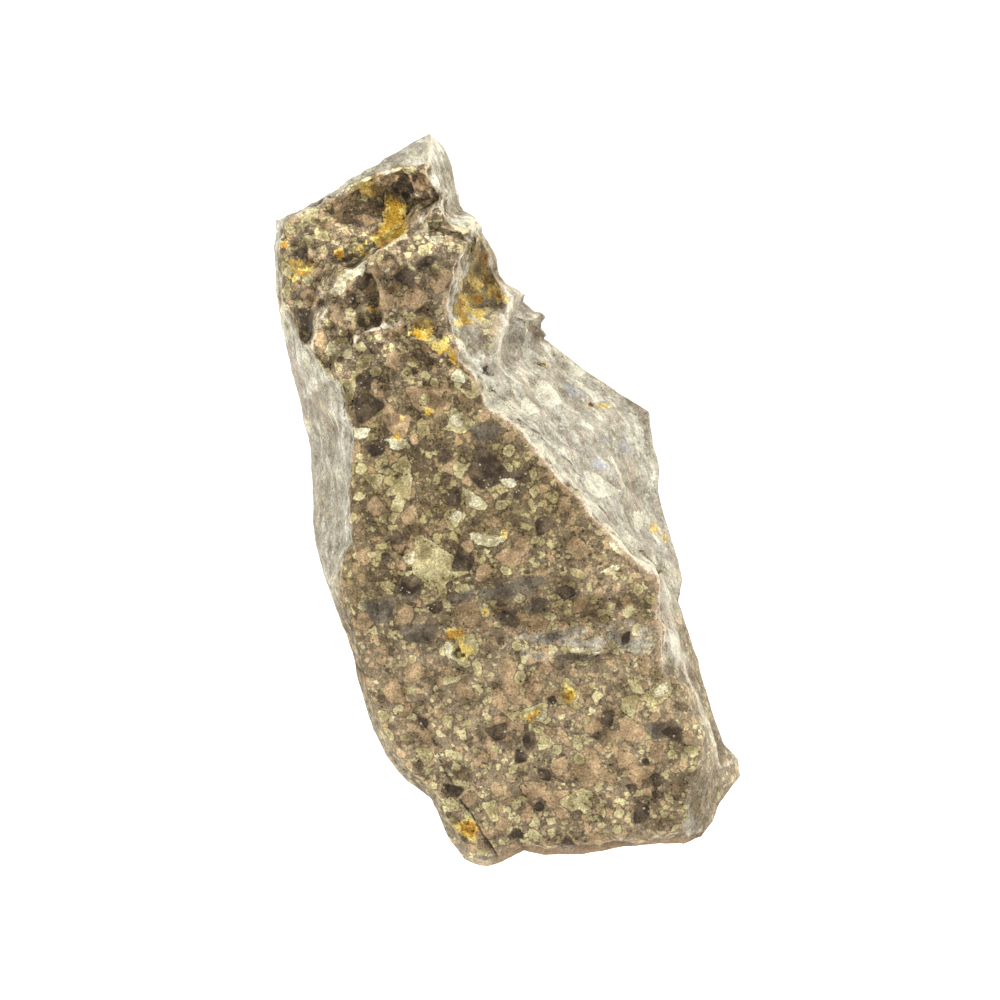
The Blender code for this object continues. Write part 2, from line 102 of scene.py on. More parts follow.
# Ridges, edges and valleys of the front, which share points where they meet
frontCreases = {
    "topEdge": [
        (277, 222, 20), (286, 225, 24), (308, 213, 25.5), (333, 199, 26.5), (348, 189, 27),
        (372, 178, 27.5), (402, 170, 28), (429, 166, 28),
    ],
    "apexRidge": [
        (430, 137, 22), (432, 152, 26), (429, 166, 28), (428, 179, 28.5), (436, 190, 28),
        (442, 199, 27.5), (448, 211, 25), (455, 217, 24.5),
    ],
    "hollowFloor": [
        (312, 228, 25), (345, 215, 25), (372, 204, 24), (403, 192, 23.5), (414, 207, 22.5),
        (404, 222, 23), (392, 234, 24.5), (372, 248, 25.5), (350, 260, 26), (330, 262, 26.5),
        (316, 282, 25.5), (316, 300, 25), (309, 322, 24.5), (303, 336, 24.5),
    ],
    "ledge": [
        (413, 226, 28.5), (428, 229, 30), (412, 235, 30.5), (399, 240, 30.5), (389, 243, 30.5),
        (379, 252, 30.5), (364, 260, 30.5), (353, 270, 30.5), (339, 283, 30.5), (325, 293, 30),
        (327, 306, 30), (323, 315, 29.5), (318, 326, 29), (313, 340, 28.5), (311, 351, 28),
    ],
    "knob": [(413, 226, 28.5), (425, 215, 29.5), (440, 204, 30), (447, 216, 28.5), (455, 217, 24.5)],
    "knobTop": [(447, 216, 28.5), (453, 222, 28), (465, 226, 27.5), (477, 221, 24)],
    "knobFoot": [(414, 207, 22.5), (428, 204, 24), (442, 199, 27.5)],
    "leftEdge": [
        (286, 225, 24), (280, 250, 22.5), (281, 284, 22.5), (283, 303, 22.5), (289, 313, 23),
        (295, 323, 23.5), (298, 337, 24.5), (303, 346, 26.5), (311, 351, 28), (317, 363, 28.5),
        (324, 373, 29), (337, 383, 30), (345, 405, 30.5), (351, 422, 31), (354, 445, 31.5),
        (353, 483, 31.5), (354, 502, 31.5), (352, 521, 31), (353, 544, 31), (346, 560, 30.5),
        (343, 577, 30), (344, 600, 29.5), (351, 628, 29.5), (358, 652, 29.5), (368, 688, 29.5),
        (380, 722, 29.5), (395, 750, 29.5), (413, 774, 29), (436, 791, 29), (446, 811, 29),
        (456, 834, 28.5), (469, 850, 28.5), (487, 857, 28.5), (502, 852, 29), (523, 841, 30),
        (546, 847, 30), (575, 846, 30), (601, 843, 30), (622, 838, 30.5), (654, 834, 30),
        (681, 833, 29), (686, 810, 30.5), (691, 787, 31), (699, 762, 31), (701, 743, 31),
        (698, 725, 31.5), (690, 706, 32), (687, 690, 32), (678, 677, 32), (666, 672, 32),
    ],
    "rightRidge": [
        (477, 221, 24), (473, 235, 28), (471, 245, 29.5), (466, 253, 30.5), (460, 261, 31),
        (456, 272, 31.5), (455, 284, 31.5), (451, 297, 31.5), (450, 310, 31.5), (454, 323, 31.5),
        (458, 337, 31.5), (462, 351, 31.5), (461, 360, 31.5), (469, 366, 32), (476, 375, 32),
        (481, 385, 32), (487, 396, 32), (488, 406, 32.5), (505, 418, 33), (521, 428, 33),
        (534, 445, 33.5), (549, 464, 33.5), (565, 483, 34), (582, 498, 34), (592, 514, 34),
        (611, 533, 33.5), (630, 554, 33), (649, 569, 32.5), (660, 577, 31.5), (662, 588, 31.5),
        (658, 613, 32), (663, 634, 32), (664, 655, 32), (666, 672, 32),
    ],
    "goldFoot": [
        (480, 238, 23.5), (474, 252, 23.5), (468, 264, 25), (466, 278, 25), (465, 292, 25.5),
        (459, 304, 25.5), (461, 318, 26), (467, 334, 27), (470, 350, 27.5), (474, 362, 28.5),
        (488, 371, 27.5), (491, 384, 29), (499, 396, 29.5),
    ],
    "goldDeep": [(480, 238, 23.5), (484, 254, 21), (486, 270, 20.5), (492, 284, 21), (497, 297, 21.5)],
    "backEdge": [
        (483, 235, 20), (490, 254, 20.5), (491, 270, 21), (497, 282, 22), (505, 292, 23.5),
        (516, 298, 23.5), (527, 296, 21),
    ],
    "toothEdge": [(505, 292, 23.5), (505, 302, 24), (514, 306, 24), (525, 303, 19.5)],
    "pinkEdge": [
        (514, 306, 24), (508, 313, 25), (507, 323, 25.5), (505, 334, 26), (502, 343, 26),
        (501, 357, 26), (502, 366, 26),
    ],
    "greyFloor": [(514, 306, 24), (517, 318, 22), (515, 336, 21.5), (512, 352, 22), (507, 362, 24)],
    "greyEdge": [
        (525, 303, 19.5), (528, 322, 22.5), (529, 335, 22.5), (526, 347, 22), (522, 356, 22),
        (514, 361, 22.5), (507, 362, 24), (502, 366, 26),
    ],
    "oliveFloor": [(541, 326, 20), (536, 334, 18.5), (534, 345, 19), (526, 347, 22)],
    "slopeHead": [(522, 356, 22), (534, 352, 19.5), (543, 345, 17.8), (550, 344, 16)],
    "slopeCrease": [
        (502, 366, 26), (509, 380, 26.5), (523, 395, 26), (546, 418, 25), (575, 445, 24),
        (602, 480, 23.5), (630, 520, 22.5), (652, 548, 21), (669, 580, 19.5), (681, 580, 16),
    ],
    "slopeFoot": [(669, 580, 19.5), (668, 600, 23.5), (677, 602, 18)],
    "rightSide": [
        (668, 600, 23.5), (672, 625, 25), (677, 648, 26), (688, 672, 25), (699, 700, 25),
        (708, 728, 24.5), (716, 752, 22.5), (722, 764, 20), (738, 757, 14),
    ],
    "rightCorner": [(722, 764, 20), (719, 783, 21), (730, 788, 15)],
    "rightLow": [(719, 783, 21), (706, 806, 23.5), (700, 835, 22.5)],
    "vein": [
        (344, 600, 29.5), (375, 607, 30.8), (405, 606, 31.6), (440, 600, 31.8), (478, 588, 32.6),
        (505, 590, 33), (530, 604, 32.6), (560, 607, 32.4), (600, 628, 32.6), (635, 637, 33),
        (663, 634, 32),
    ],
    "lowSpur": [(530, 604, 32.6), (519, 637, 32.2), (498, 662, 33), (491, 692, 32.6), (478, 722, 31.8)],
    "lowBack": [(478, 722, 31.8), (520, 735, 32), (580, 745, 32.6), (640, 755, 32.6), (698, 725, 31.5)],
    "lowLeft": [(368, 688, 29.5), (400, 668, 30.4), (440, 672, 31), (478, 722, 31.8)],
    "lowFall": [(478, 722, 31.8), (470, 760, 31), (480, 800, 30.6), (487, 857, 28.5)],
    "arch": [(353, 348, 30.8), (357, 340, 31.8), (365, 333, 32.2), (380, 329, 32.4), (400, 326, 32)],
    "archFoot": [(344, 352, 29.6), (349, 338, 30), (358, 327, 30.6), (379, 320, 31)],
    "chipEdge": [(378, 289, 31.5), (379, 306, 32), (381, 316, 32.2)],
    "chipFoot": [(372, 290, 30.4), (373, 306, 30.6), (379, 320, 31)],
    "stepEdge": [(336, 362, 31.4), (338, 375, 31.4), (345, 405, 30.5)],
    "stepFoot": [(344, 352, 29.6), (331, 362, 29.2), (332, 374, 29.4)],
    "columnCrest": [(428, 229, 30), (432, 250, 31), (420, 275, 31.6), (425, 300, 32), (430, 330, 31.4)],
    "saddle": [(430, 330, 31.4), (420, 350, 30.8), (430, 372, 31), (461, 360, 31.5)],
    "frontSwell": [
        (395, 400, 32.2), (420, 450, 33), (400, 500, 32.6), (440, 540, 33), (500, 490, 33.8),
        (540, 530, 33.6), (590, 570, 33.4), (610, 600, 33),
    ],
}

# The back: the face it rests on, and the creases between that and the outline
restingFace = [
    (398, 356, 0), (419, 306, 0), (466, 297, 0), (503, 349, 0), (537, 398, 0), (591, 469, 0),
    (611, 548, 0), (649, 604, 0), (653, 702, 0), (630, 754, 0), (573, 779, 0), (521, 761, 0),
    (472, 784, 0), (431, 716, 0), (405, 641, 0), (386, 603, 0), (358, 521, 0), (373, 452, 0),
    (366, 401, 0),
]
backCreases = {
    "nose": [(430, 137, 22), (405, 196, 16.5), (384, 262, 9), (398, 356, 0)],
    "noseSide": [(498, 265, 18.5), (478, 258, 12), (466, 297, 0)],
    "noseBelt": [(310, 208, 21.5), (337, 246, 14), (384, 262, 9), (478, 258, 12)],
    "leftBelt": [
        (337, 246, 14), (318, 330, 9.5), (331, 415, 7.5), (344, 497, 4.5), (336, 560, 8),
        (366, 640, 8),
    ],
    "lowLeftBelt": [(366, 640, 8), (396, 722, 12), (446, 776, 11), (492, 822, 13)],
    "lowBelt": [(492, 822, 13), (560, 812, 9), (640, 824, 12.5), (690, 796, 9)],
    "rightBelt": [
        (690, 796, 9), (704, 736, 6.5), (674, 664, 4.5), (664, 590, 8), (624, 500, 4), (608, 424, 5.5),
    ],
    "rightNose": [(608, 424, 5.5), (549, 376, 8), (511, 322, 9), (478, 258, 12)],
}


def toMetres(across, down, heightMm):
    # a pixel is as wide as on the table, less the share of the camera's height that the point is above it
    height = np.asarray(heightMm, float) * mm
    pixel = tablePixel * (1 - height / photo["cameraHeight"])
    x = (across - photo["middle"][0]) * pixel
    y = (photo["middle"][1] - down) * pixel
    return np.stack([x, y, height], axis=-1)


def toPixels(places):
    # the same rule backwards: where the camera sees each place
    pixel = tablePixel * (1 - places[..., 2] / photo["cameraHeight"])
    return photo["middle"][0] + places[..., 0] / pixel, photo["middle"][1] - places[..., 1] / pixel


sameSpot = 1e-7  # metres: points that are closer are taken as one
smallest = 1e-12  # areas and lengths below this aren't divided by
insideOnly = 1  # the kind of result that keeps only the triangles inside the outline


def facetsThrough(creases):
    # flat facets between the creases, inside the outline, as three corners each
    around = sum((side[:-1] for side in outline.values()), [])
    index, points, edges = {}, [], []
    for line in [around + around[:1], *creases]:
        ids = []
        for point in line:
            if point[:2] not in index:
                index[point[:2]] = len(points)
                points.append(point)
            ids.append(index[point[:2]])
        edges += list(zip(ids, ids[1:]))
    places = toMetres(*np.array(points, float).T)
    flat = [tuple(place[:2]) for place in places]
    ring = [list(range(len(around)))]
    _, _, triangles, *_ = delaunay_2d_cdt(flat, edges, ring, insideOnly, sameSpot)
    return places[np.array(triangles)]


def heightOver(facets, x, y):
    # height of the facet over or under each spot: the corners' heights, shared out by the three small
    # areas that the spot makes with the facet's sides; the facet with the largest smallest share holds it
    height = np.zeros(x.shape)
    held = np.full(x.shape, -np.inf)
    for a, b, c in facets:
        area = (b[0] - a[0]) * (c[1] - a[1]) - (b[1] - a[1]) * (c[0] - a[0])
        if abs(area) < smallest:
            continue
        shareB = ((x - a[0]) * (c[1] - a[1]) - (y - a[1]) * (c[0] - a[0])) / area
        shareC = ((y - a[1]) * (b[0] - a[0]) - (x - a[0]) * (b[1] - a[1])) / area
        shareA = 1 - shareB - shareC
        least = np.minimum(np.minimum(shareA, shareB), shareC)
        better = least > held
        held = np.where(better, least, held)
        height = np.where(better, shareA * a[2] + shareB * b[2] + shareC * c[2], height)
    return height


def alongSide(side, share):
    # the place that lies that share of the way along one side of the outline
    places = toMetres(*np.array(side, float).T)
    reach = np.append(0, np.cumsum(np.linalg.norm(np.diff(places, axis=0), axis=1)))
    return np.stack([np.interp(share, reach / reach[-1], column) for column in places[:, :2].T], axis=-1)


def overOutline(u, v):
    # u runs from the left side to the right, v from the top edge to the foot: the blend of the two
    # cross edges, plus the blend of the two long sides, less the blend of the four corners
    top = alongSide(outline["topEdge"][::-1], u)
    foot = alongSide(outline["footEdge"], u)
    left = alongSide(outline["leftSide"], v)
    right = alongSide(outline["rightSide"][::-1], v)
    corners = [alongSide(outline["topEdge"], share) for share in (1, 0)]
    corners += [alongSide(outline["footEdge"], share) for share in (0, 1)]
    u, v = u[..., None], v[..., None]
    flat = (1 - u) * (1 - v) * corners[0] + u * (1 - v) * corners[1]
    flat += (1 - u) * v * corners[2] + u * v * corners[3]
    return (1 - v) * top + v * foot + (1 - u) * left + u * right - flat


def evened(values, passes, axis):
    # each value becomes half itself and a quarter of each neighbour; the two ends stay
    values = np.moveaxis(values.copy(), axis, 0)
    for _ in range(passes):
        values[1:-1] = values[1:-1] / 2 + (values[:-2] + values[2:]) / 4
    return np.moveaxis(values, 0, axis)


def spreadOut(share, places, axis):
    # moves the grid's lines so that its steps along the surface are nearly equal
    share, places = np.moveaxis(share, axis, 1), np.moveaxis(places, axis, 1)
    steps = np.linalg.norm(np.diff(places, axis=1), axis=2)
    reach = np.concatenate([np.zeros((len(steps), 1)), np.cumsum(steps, axis=1)], axis=1)
    reach /= reach[:, -1:]
    even = np.linspace(0, 1, share.shape[1])
    mixed = surface["spread"] * reach + (1 - surface["spread"]) * even
    moved = np.stack([np.interp(even, mixedRow, shareRow) for mixedRow, shareRow in zip(mixed, share)])
    return np.moveaxis(moved, 1, axis)


def sheetOf(facets):
    # one side of the stone as a grid of places: over the outline in x and y, on the facets in z
    u, v = np.meshgrid(np.linspace(0, 1, surface["across"]), np.linspace(0, 1, surface["along"]))
    for axis in (1, 0, 1):
        flat = overOutline(u, v)
        places = np.dstack([flat, heightOver(facets, flat[..., 0], flat[..., 1])])
        if axis == 1:
            u = evened(spreadOut(u, places, 1), surface["lineEvening"], 0)
        else:
            v = evened(spreadOut(v, places, 0), surface["lineEvening"], 1)
    flat = overOutline(u, v)
    places = np.dstack([flat, heightOver(facets, flat[..., 0], flat[..., 1])])
    for _ in range(surface["softening"]):
        inner = places[1:-1, 1:-1] / 2
        inner += (places[:-2, 1:-1] + places[2:, 1:-1] + places[1:-1, :-2] + places[1:-1, 2:]) / 8
        places[1:-1, 1:-1] = inner
    return places, u, v


# Random numbers for cells in space: a shift in cells that keeps their whole numbers above nothing,
# and large odd numbers that stir them, some with a shift of the bits before them
cellShift = 512
cellStirs = (73856093, 19349663, 83492791)
seedStir = 2654435761
stateStirs = ((15, 2246822519), (13, 3266489917))
stateSize = 2**40
bitsLeftOut = 12  # the lowest, which are stirred least
numberSize = 2**16


def cellRandom(cells, seed):
    # three even random numbers for each whole-numbered cell, the same on every run
    mixed = cells.astype(np.uint64) * np.array(cellStirs, np.uint64)
    state = mixed[..., 0] ^ mixed[..., 1] ^ mixed[..., 2] ^ np.uint64(seed * seedStir)
    numbers = []
    for _ in range(3):
        for shift, stir in stateStirs:
            state = (state ^ (state >> np.uint64(shift))) * np.uint64(stir) % np.uint64(stateSize)
        number = (state >> np.uint64(bitsLeftOut)) % np.uint64(numberSize)
        numbers.append(number / (numberSize - 1))
    return np.stack(numbers, axis=-1)


def scallops(places, size, seed):
    # bowls that meet at sharp crests: the squared distance to the nearest of one random point per cell
    scaled = places / size + cellShift
    base = np.floor(scaled)
    nearest = np.full(places.shape[:-1], np.inf)
    for shift in np.ndindex(3, 3, 3):
        cell = base + np.array(shift) - 1
        away = cell + cellRandom(cell, seed) - scaled
        nearest = np.minimum(nearest, (away**2).sum(axis=-1))
    return np.minimum(nearest, 1)


def lumps(places, size, seed):
    # smooth random lumps: random heights at the corners of cells, blended across each cell
    scaled = places / size + cellShift
    base = np.floor(scaled)
    part = scaled - base
    part = part * part * (3 - 2 * part)
    total = np.zeros(places.shape[:-1])
    for shift in np.ndindex(2, 2, 2):
        weight = np.prod(np.where(np.array(shift), part, 1 - part), axis=-1)
        total += weight * cellRandom(base + np.array(shift), seed)[..., 0]
    return total * 2 - 1


def facingOf(places):
    # unit normals of a grid: the step along crossed with the step across
    across, along = np.gradient(places, axis=1), np.gradient(places, axis=0)
    normal = np.cross(along, across)
    return normal / np.maximum(np.linalg.norm(normal, axis=-1, keepdims=True), smallest)


# Grains and stains: pixel across, pixel down, half width and half height in pixels,
# and a turn in degrees where there is one
marks = {
    "quartz": [
        (486, 472, 18, 16, 20), (364, 382, 8, 8), (367, 408, 13, 11, 30), (377, 449, 9, 8),
        (444, 456, 6, 6), (518, 475, 7, 6), (454, 499, 7, 8, 20), (399, 538, 7, 6), (387, 557, 5, 5),
        (464, 562, 10, 10, 40), (543, 525, 9, 8), (409, 588, 9, 8), (436, 608, 7, 6), (521, 756, 6, 6),
        (424, 722, 6, 5), (552, 699, 4, 4), (607, 717, 8, 6), (673, 731, 9, 7, 10), (657, 779, 6, 7),
        (632, 787, 5, 5), (641, 811, 9, 8), (454, 790, 8, 6), (517, 832, 6, 5), (539, 806, 5, 5),
        (376, 350, 7, 6), (307, 321, 7, 11), (302, 258, 8, 6), (407, 278, 9, 8), (498, 732, 9, 8),
        (597, 735, 4, 4), (645, 761, 4, 4), (568, 845, 7, 6), (363, 280, 7, 5, 20), (351, 302, 6, 5),
    ],
    "blueQuartz": [
        (485, 434, 14, 9), (380, 611, 15, 12, 5), (419, 634, 19, 10), (490, 594, 13, 7),
        (506, 590, 15, 9, -8), (524, 586, 11, 7, -5), (534, 582, 12, 6), (537, 606, 11, 8),
        (462, 597, 16, 5, 12), (411, 591, 11, 11), (508, 617, 12, 6, 20), (661, 729, 16, 9, 10),
        (564, 657, 8, 4, 20), (580, 656, 10, 4, -12), (602, 655, 9, 3, 10), (560, 634, 14, 4, 12),
        (572, 390, 10, 4, -40), (626, 446, 6, 5), (598, 466, 8, 5, -40), (606, 440, 4, 4),
    ],
    # painted shade, partly darker stone: places whose brightness is multiplied down
    "shade": [
        (414, 292, 40, 30), (393, 372, 24, 17), (560, 613, 112, 17, 3), (482, 640, 30, 24),
        (374, 308, 10, 14), (362, 680, 64, 8, -75), (410, 777, 52, 8, -52), (356, 177, 80, 6, 29),
        (690, 806, 24, 44, 10), (560, 838, 120, 12, 2), (492, 686, 18, 16), (392, 202, 30, 12, 12),
        (449, 288, 12, 46, 4), (450, 822, 16, 18, 30), (447, 180, 13, 36, -12), (664, 824, 30, 14),
        (484, 274, 20, 44, -14),
    ],
    # painted light, partly paler stone: places whose brightness is multiplied up
    "pale": [
        (346, 232, 50, 26, 28), (397, 222, 18, 22), (393, 344, 34, 14), (452, 376, 28, 15, -35),
        (332, 342, 18, 18), (405, 434, 26, 14), (612, 580, 26, 14, -40), (424, 250, 38, 18, 10),
        (306, 284, 16, 14), (382, 183, 46, 12, 14), (330, 207, 30, 8, 30), (522, 322, 14, 20),
        (430, 186, 14, 14), (300, 246, 16, 16), (488, 540, 20, 9, -10),
    ],
    "vein": [
        (552, 637, 36, 9, 4), (585, 645, 30, 9, 4), (628, 642, 28, 11, -18), (641, 631, 15, 8, -20),
        (676, 645, 7, 14, -15), (536, 655, 22, 5, -10),
    ],
    "cream": [
        (434, 566, 24, 19, -35), (488, 540, 15, 6, -10), (472, 500, 12, 7, -35), (404, 467, 8, 8),
        (404, 487, 11, 9), (376, 481, 8, 6), (382, 466, 7, 5, 30), (460, 424, 12, 10), (453, 518, 9, 9, 20),
        (400, 504, 8, 6), (335, 353, 7, 6), (365, 364, 7, 6, 30), (347, 393, 8, 13), (426, 754, 8, 7),
        (448, 720, 6, 6), (492, 810, 6, 11, 20), (575, 800, 12, 9, 30), (628, 704, 10, 8),
        (659, 692, 15, 9, 40), (465, 228, 9, 6), (536, 393, 10, 6, -50), (459, 647, 14, 13),
        (545, 741, 8, 6), (534, 713, 14, 8, 20), (569, 692, 11, 10), (335, 290, 12, 5, 35),
        (352, 272, 13, 6, 35), (322, 236, 8, 6), (430, 228, 12, 5, 10), (362, 251, 10, 7), (288, 272, 7, 6),
        (362, 188, 12, 7, 20), (406, 174, 12, 5, 10), (312, 219, 9, 5, 25), (464, 384, 12, 8, -35),
    ],
    "pink": [
        (417, 542, 10, 8), (411, 517, 9, 8), (377, 508, 10, 8, 40), (398, 424, 13, 9), (394, 361, 8, 7),
        (511, 558, 12, 9, 20), (467, 481, 5, 5), (453, 468, 8, 7), (426, 399, 15, 12), (523, 693, 16, 11),
        (502, 823, 7, 7), (467, 613, 13, 12), (542, 733, 10, 9, 30), (555, 798, 12, 9), (609, 743, 7, 7),
        (609, 773, 8, 8), (586, 756, 12, 10, 50), (632, 731, 14, 10, -20), (640, 773, 14, 7, 10),
        (657, 750, 9, 7), (394, 692, 11, 9), (415, 671, 11, 9), (589, 778, 8, 7), (407, 226, 16, 5, 25),
        (386, 300, 9, 12), (397, 333, 9, 6), (388, 180, 18, 7, 14), (424, 184, 9, 9), (344, 199, 16, 6, 30),
    ],
    "gold": [
        (397, 213, 12, 12), (394, 233, 17, 11, 35), (380, 242, 8, 7), (466, 302, 8, 7), (463, 308, 8, 9),
        (424, 336, 12, 7, 15), (441, 348, 10, 7, 20), (456, 361, 9, 7, 40), (373, 310, 4, 6),
        (306, 273, 10, 4), (295, 281, 5, 4), (286, 246, 5, 5), (341, 254, 6, 5), (429, 413, 6, 5),
        (505, 535, 5, 4), (402, 419, 4, 4), (398, 438, 4, 4), (485, 613, 5, 4), (456, 634, 10, 7),
        (464, 651, 8, 9), (532, 714, 12, 5, 20), (569, 693, 9, 7, -30), (469, 827, 12, 10),
        (592, 405, 5, 4), (605, 406, 7, 4), (542, 366, 7, 3, -50), (656, 528, 5, 5), (666, 537, 5, 4),
        (494, 292, 7, 8, -30), (362, 249, 8, 4, 30), (500, 298, 8, 6, 20), (478, 286, 7, 8),
        (463, 322, 7, 8), (478, 316, 8, 6, 30), (368, 256, 6, 4),
    ],
    "ochre": [
        (478, 268, 12, 30, -12), (490, 288, 13, 16, -30), (472, 296, 14, 14), (484, 246, 8, 12),
        (372, 196, 14, 8), (300, 270, 12, 9), (425, 330, 12, 12), (460, 649, 9, 8),
    ],
    "rust": [
        (456, 633, 9, 4, 10), (450, 637, 4, 5), (469, 827, 8, 7), (530, 716, 5, 4, 20), (566, 697, 4, 5),
        (463, 305, 5, 6), (500, 296, 6, 4), (458, 363, 4, 5), (306, 275, 9, 3), (341, 255, 5, 4),
        (429, 413, 4, 3), (506, 535, 3, 2), (485, 614, 3, 3), (592, 404, 4, 3), (286, 247, 4, 4),
        (296, 282, 4, 2), (373, 312, 3, 4), (384, 243, 4, 4), (478, 300, 5, 4), (484, 262, 5, 8),
    ],
    "white": [
        (486, 541, 15, 6, -10), (509, 484, 8, 5), (473, 500, 10, 6, -35), (455, 518, 7, 6, 20),
        (361, 434, 9, 6), (457, 420, 7, 6), (410, 559, 6, 6), (465, 226, 11, 7), (611, 570, 9, 4, 30),
        (449, 650, 4, 9), (340, 292, 10, 5, 35), (356, 273, 13, 6, 35), (331, 352, 7, 5), (541, 714, 6, 5),
        (364, 252, 9, 5), (660, 690, 10, 5, 40), (437, 240, 8, 4), (577, 650, 9, 3, 5), (597, 653, 5, 2),
        (345, 352, 9, 7), (398, 445, 9, 6), (458, 378, 7, 5, 30), (547, 397, 14, 8, -40),
        (530, 408, 9, 6, -40), (599, 486, 16, 8, -38), (618, 546, 12, 7, -45), (576, 372, 8, 5, -30),
        (640, 520, 6, 9),
    ],
    # dark grains and pits; the black in the pits is painted shade
    "dark": [
        (405, 184, 6, 5, 20), (410, 192, 5, 4), (408, 199, 4, 5, 10), (399, 193, 4, 3), (414, 183, 3, 3),
        (458, 653, 6, 6), (452, 640, 3, 3), (374, 308, 3, 3), (592, 405, 3, 2), (644, 761, 2, 2),
        (425, 310, 3, 2, -40), (415, 373, 5, 3, 20), (489, 371, 5, 4), (496, 388, 4, 3), (466, 823, 3, 2),
        (473, 831, 3, 2), (489, 845, 2, 13, 35), (541, 365, 3, 4, 30), (522, 418, 3, 2), (544, 436, 2, 3),
        (524, 424, 3, 2), (591, 405, 2, 2),
    ],
    "bare": [
        (706, 748, 34, 90, 10), (688, 640, 9, 30, 20), (488, 326, 12, 26), (585, 848, 115, 10, 2),
        (480, 858, 28, 13), (353, 665, 72, 13, -73), (399, 765, 56, 15, -51), (447, 827, 44, 13, -60),
    ],
}

# Cracks, pale lines along the ridges, the tan border of the right ridge and a dark warm line along the
# foot edge, painted shade with the orange tint of a painted reflection, as lines of pixels across and down
lines = {
    "crack": [
        [
            (414, 710), (431, 731), (439, 752), (446, 773), (455, 785), (460, 800), (471, 813), (483, 834),
            (498, 857),
        ],
    ],
    "hairline": [
        [(534, 766), (567, 783), (580, 800), (599, 812)],
        [(554, 815), (576, 825)],
        [(663, 630), (665, 672)],
        [(509, 370), (511, 394)],
        [(522, 417), (531, 425), (535, 430), (543, 434), (549, 446)],
        [(537, 359), (541, 366), (547, 371)],
        [(562, 455), (573, 462), (577, 471), (584, 477)],
        [(505, 376), (511, 388), (512, 405)],
        [(600, 505), (612, 519), (617, 532)],
        [(348, 655), (362, 672), (375, 681)],
        [(404, 692), (414, 710)],
    ],
    "paleRidge": [
        [point[:2] for point in frontCreases[name]]
        for name in ("ledge", "rightRidge", "arch", "apexRidge", "knob", "pinkEdge", "backEdge", "rightSide")
    ],
    "tan": [[point[:2] for point in frontCreases["rightRidge"][6:]]],
    "paintedFootShade": [
        [
            (500, 860), (524, 848), (545, 853), (575, 852), (600, 849), (622, 844), (655, 841), (683, 842),
            (700, 834),
        ],
    ],
}
lineWidths = {"crack": 1.25, "hairline": 0.9, "paleRidge": 3.5, "tan": 8.0, "paintedFootShade": 4.5}  # half widths in pixels

# Grains grown at random everywhere: one to a cell of so many mm, in this share of the cells,
# of this half width in cells, with this seed
grown = {
    "pink": (3.2, 0.60, 0.33, 61),
    "cream": (2.2, 0.60, 0.30, 67),
    "quartz": (3.6, 0.34, 0.22, 71),
}
# The blocky form of marks and grown grains
blocks = {
    "taper": 0.4,  # how much one side stretches for each half width along the other
    "taperLimit": 1.5,  # half widths
    "cutCorners": 0.60,  # the corners are cut where this share of both offsets together is the larger
    "roundWithin": 3,  # pixels: half widths that differ by less make a spot round
    "placeTurn": (7, 11),  # degrees that a round spot is turned for each pixel across and down
    "grownSizes": (0.6, 0.8),  # a grown grain has the first share of its size and up to the second more
    "grownStretch": 0.4,  # and is stretched by up to this share
}

# The stone's surface
surface = {
    "across": 181,  # points across each side of the stone
    "along": 271,  # points along it
    "spread": 0.75,  # 1 makes all steps along a grid line equal, 0 leaves them as the outline sets them
    "lineEvening": 3,
    "softening": 1,  # passes that take the sharpness off creases
    "scallops": [(8.5, 1.0, 11), (4.2, 0.75, 23)],  # broken bowls: width in mm, depth in mm, seed
    "fineScallops": [(2.1, 0.42, 31), (1.2, 0.26, 47)],
    "lumps": [(2.8, 0.14, 5), (1.3, 0.12, 7)],
    "bowlLevels": (0.4, 0.5),  # what counts as no depth in the broad and in the fine bowls
    "smoother": 0.45,  # the share of the fine relief that is left out outside the speckled face
    "flatter": 0.55,  # and below the hollows at the top
    "hollowsFrom": (12, 24),  # mm above the middle between which the full relief sets in
    "shoulderInset": 3,  # pixels
    "shoulderDrop": 2,  # mm
    "footFade": 1.6,  # mm above the table over which the relief fades in
    "rimFade": 2.2,  # mm from the outline over which the broad bowls fade in
    "rimShare": 0.3,
    "edgeOfMark": 0.4,  # mm over which a mark reaches its full relief
    "faceReach": 4.0,  # mm inside or outside the speckled face up to which its depth is told
    # a crest is measured against so many passes of evening, with these weights
    "crestEvening": [(8, 1.0), (60, 0.15)],
    "sheetSize": (60, 96),  # mm that the sheet's two shares of the way stand for
}
# How far each kind of mark stands proud (or is sunk), in mm
markRelief = {
    "quartz": 0.10, "cream": -0.08, "pink": 0.05, "gold": 0.05, "dark": -0.55, "crack": -0.35, "vein": 0.10,
}


farOutside = -1.0  # mm: the depth of every place that is farther than this outside a mark or line


def distanceTo(path, spots):
    # how far each spot is from the nearest stretch of the path
    nearest = np.full(spots.shape[:-1], np.inf)
    for start, end in zip(path, path[1:]):
        span = end - start
        along = np.clip((spots - start) @ span / (span @ span), 0, 1)
        nearest = np.minimum(nearest, np.linalg.norm(spots - start - along[..., None] * span, axis=-1))
    return nearest


def rimDistance(places):
    # how far each place is from the outline
    around = np.concatenate([toMetres(*np.array(side, float).T)[:-1] for side in outline.values()])
    return distanceTo(np.append(around, around[:1], axis=0), places)


def lineDepth(places, paths, halfWidth):
    # how far inside the nearest drawn line each place is, in mm
    spots = np.stack(toPixels(places), axis=-1)
    away = np.minimum.reduce([distanceTo(np.array(path, float), spots) for path in paths])
    return (halfWidth - away) * frontPixel / mm


def blockiness(offsets):
    # 1 on the border of a block with its corners cut off: the largest offset, or a share of their sum
    # where that is more; the first is stretched as the second grows, so no two sides are parallel
    limit = blocks["taperLimit"]
    tapered = [offsets[0] * (1 + blocks["taper"] * np.clip(offsets[1], -limit, limit)), *offsets[1:]]
    sizes = [np.abs(offset) for offset in tapered]
    return np.maximum(np.maximum.reduce(sizes), blocks["cutCorners"] * sum(sizes))


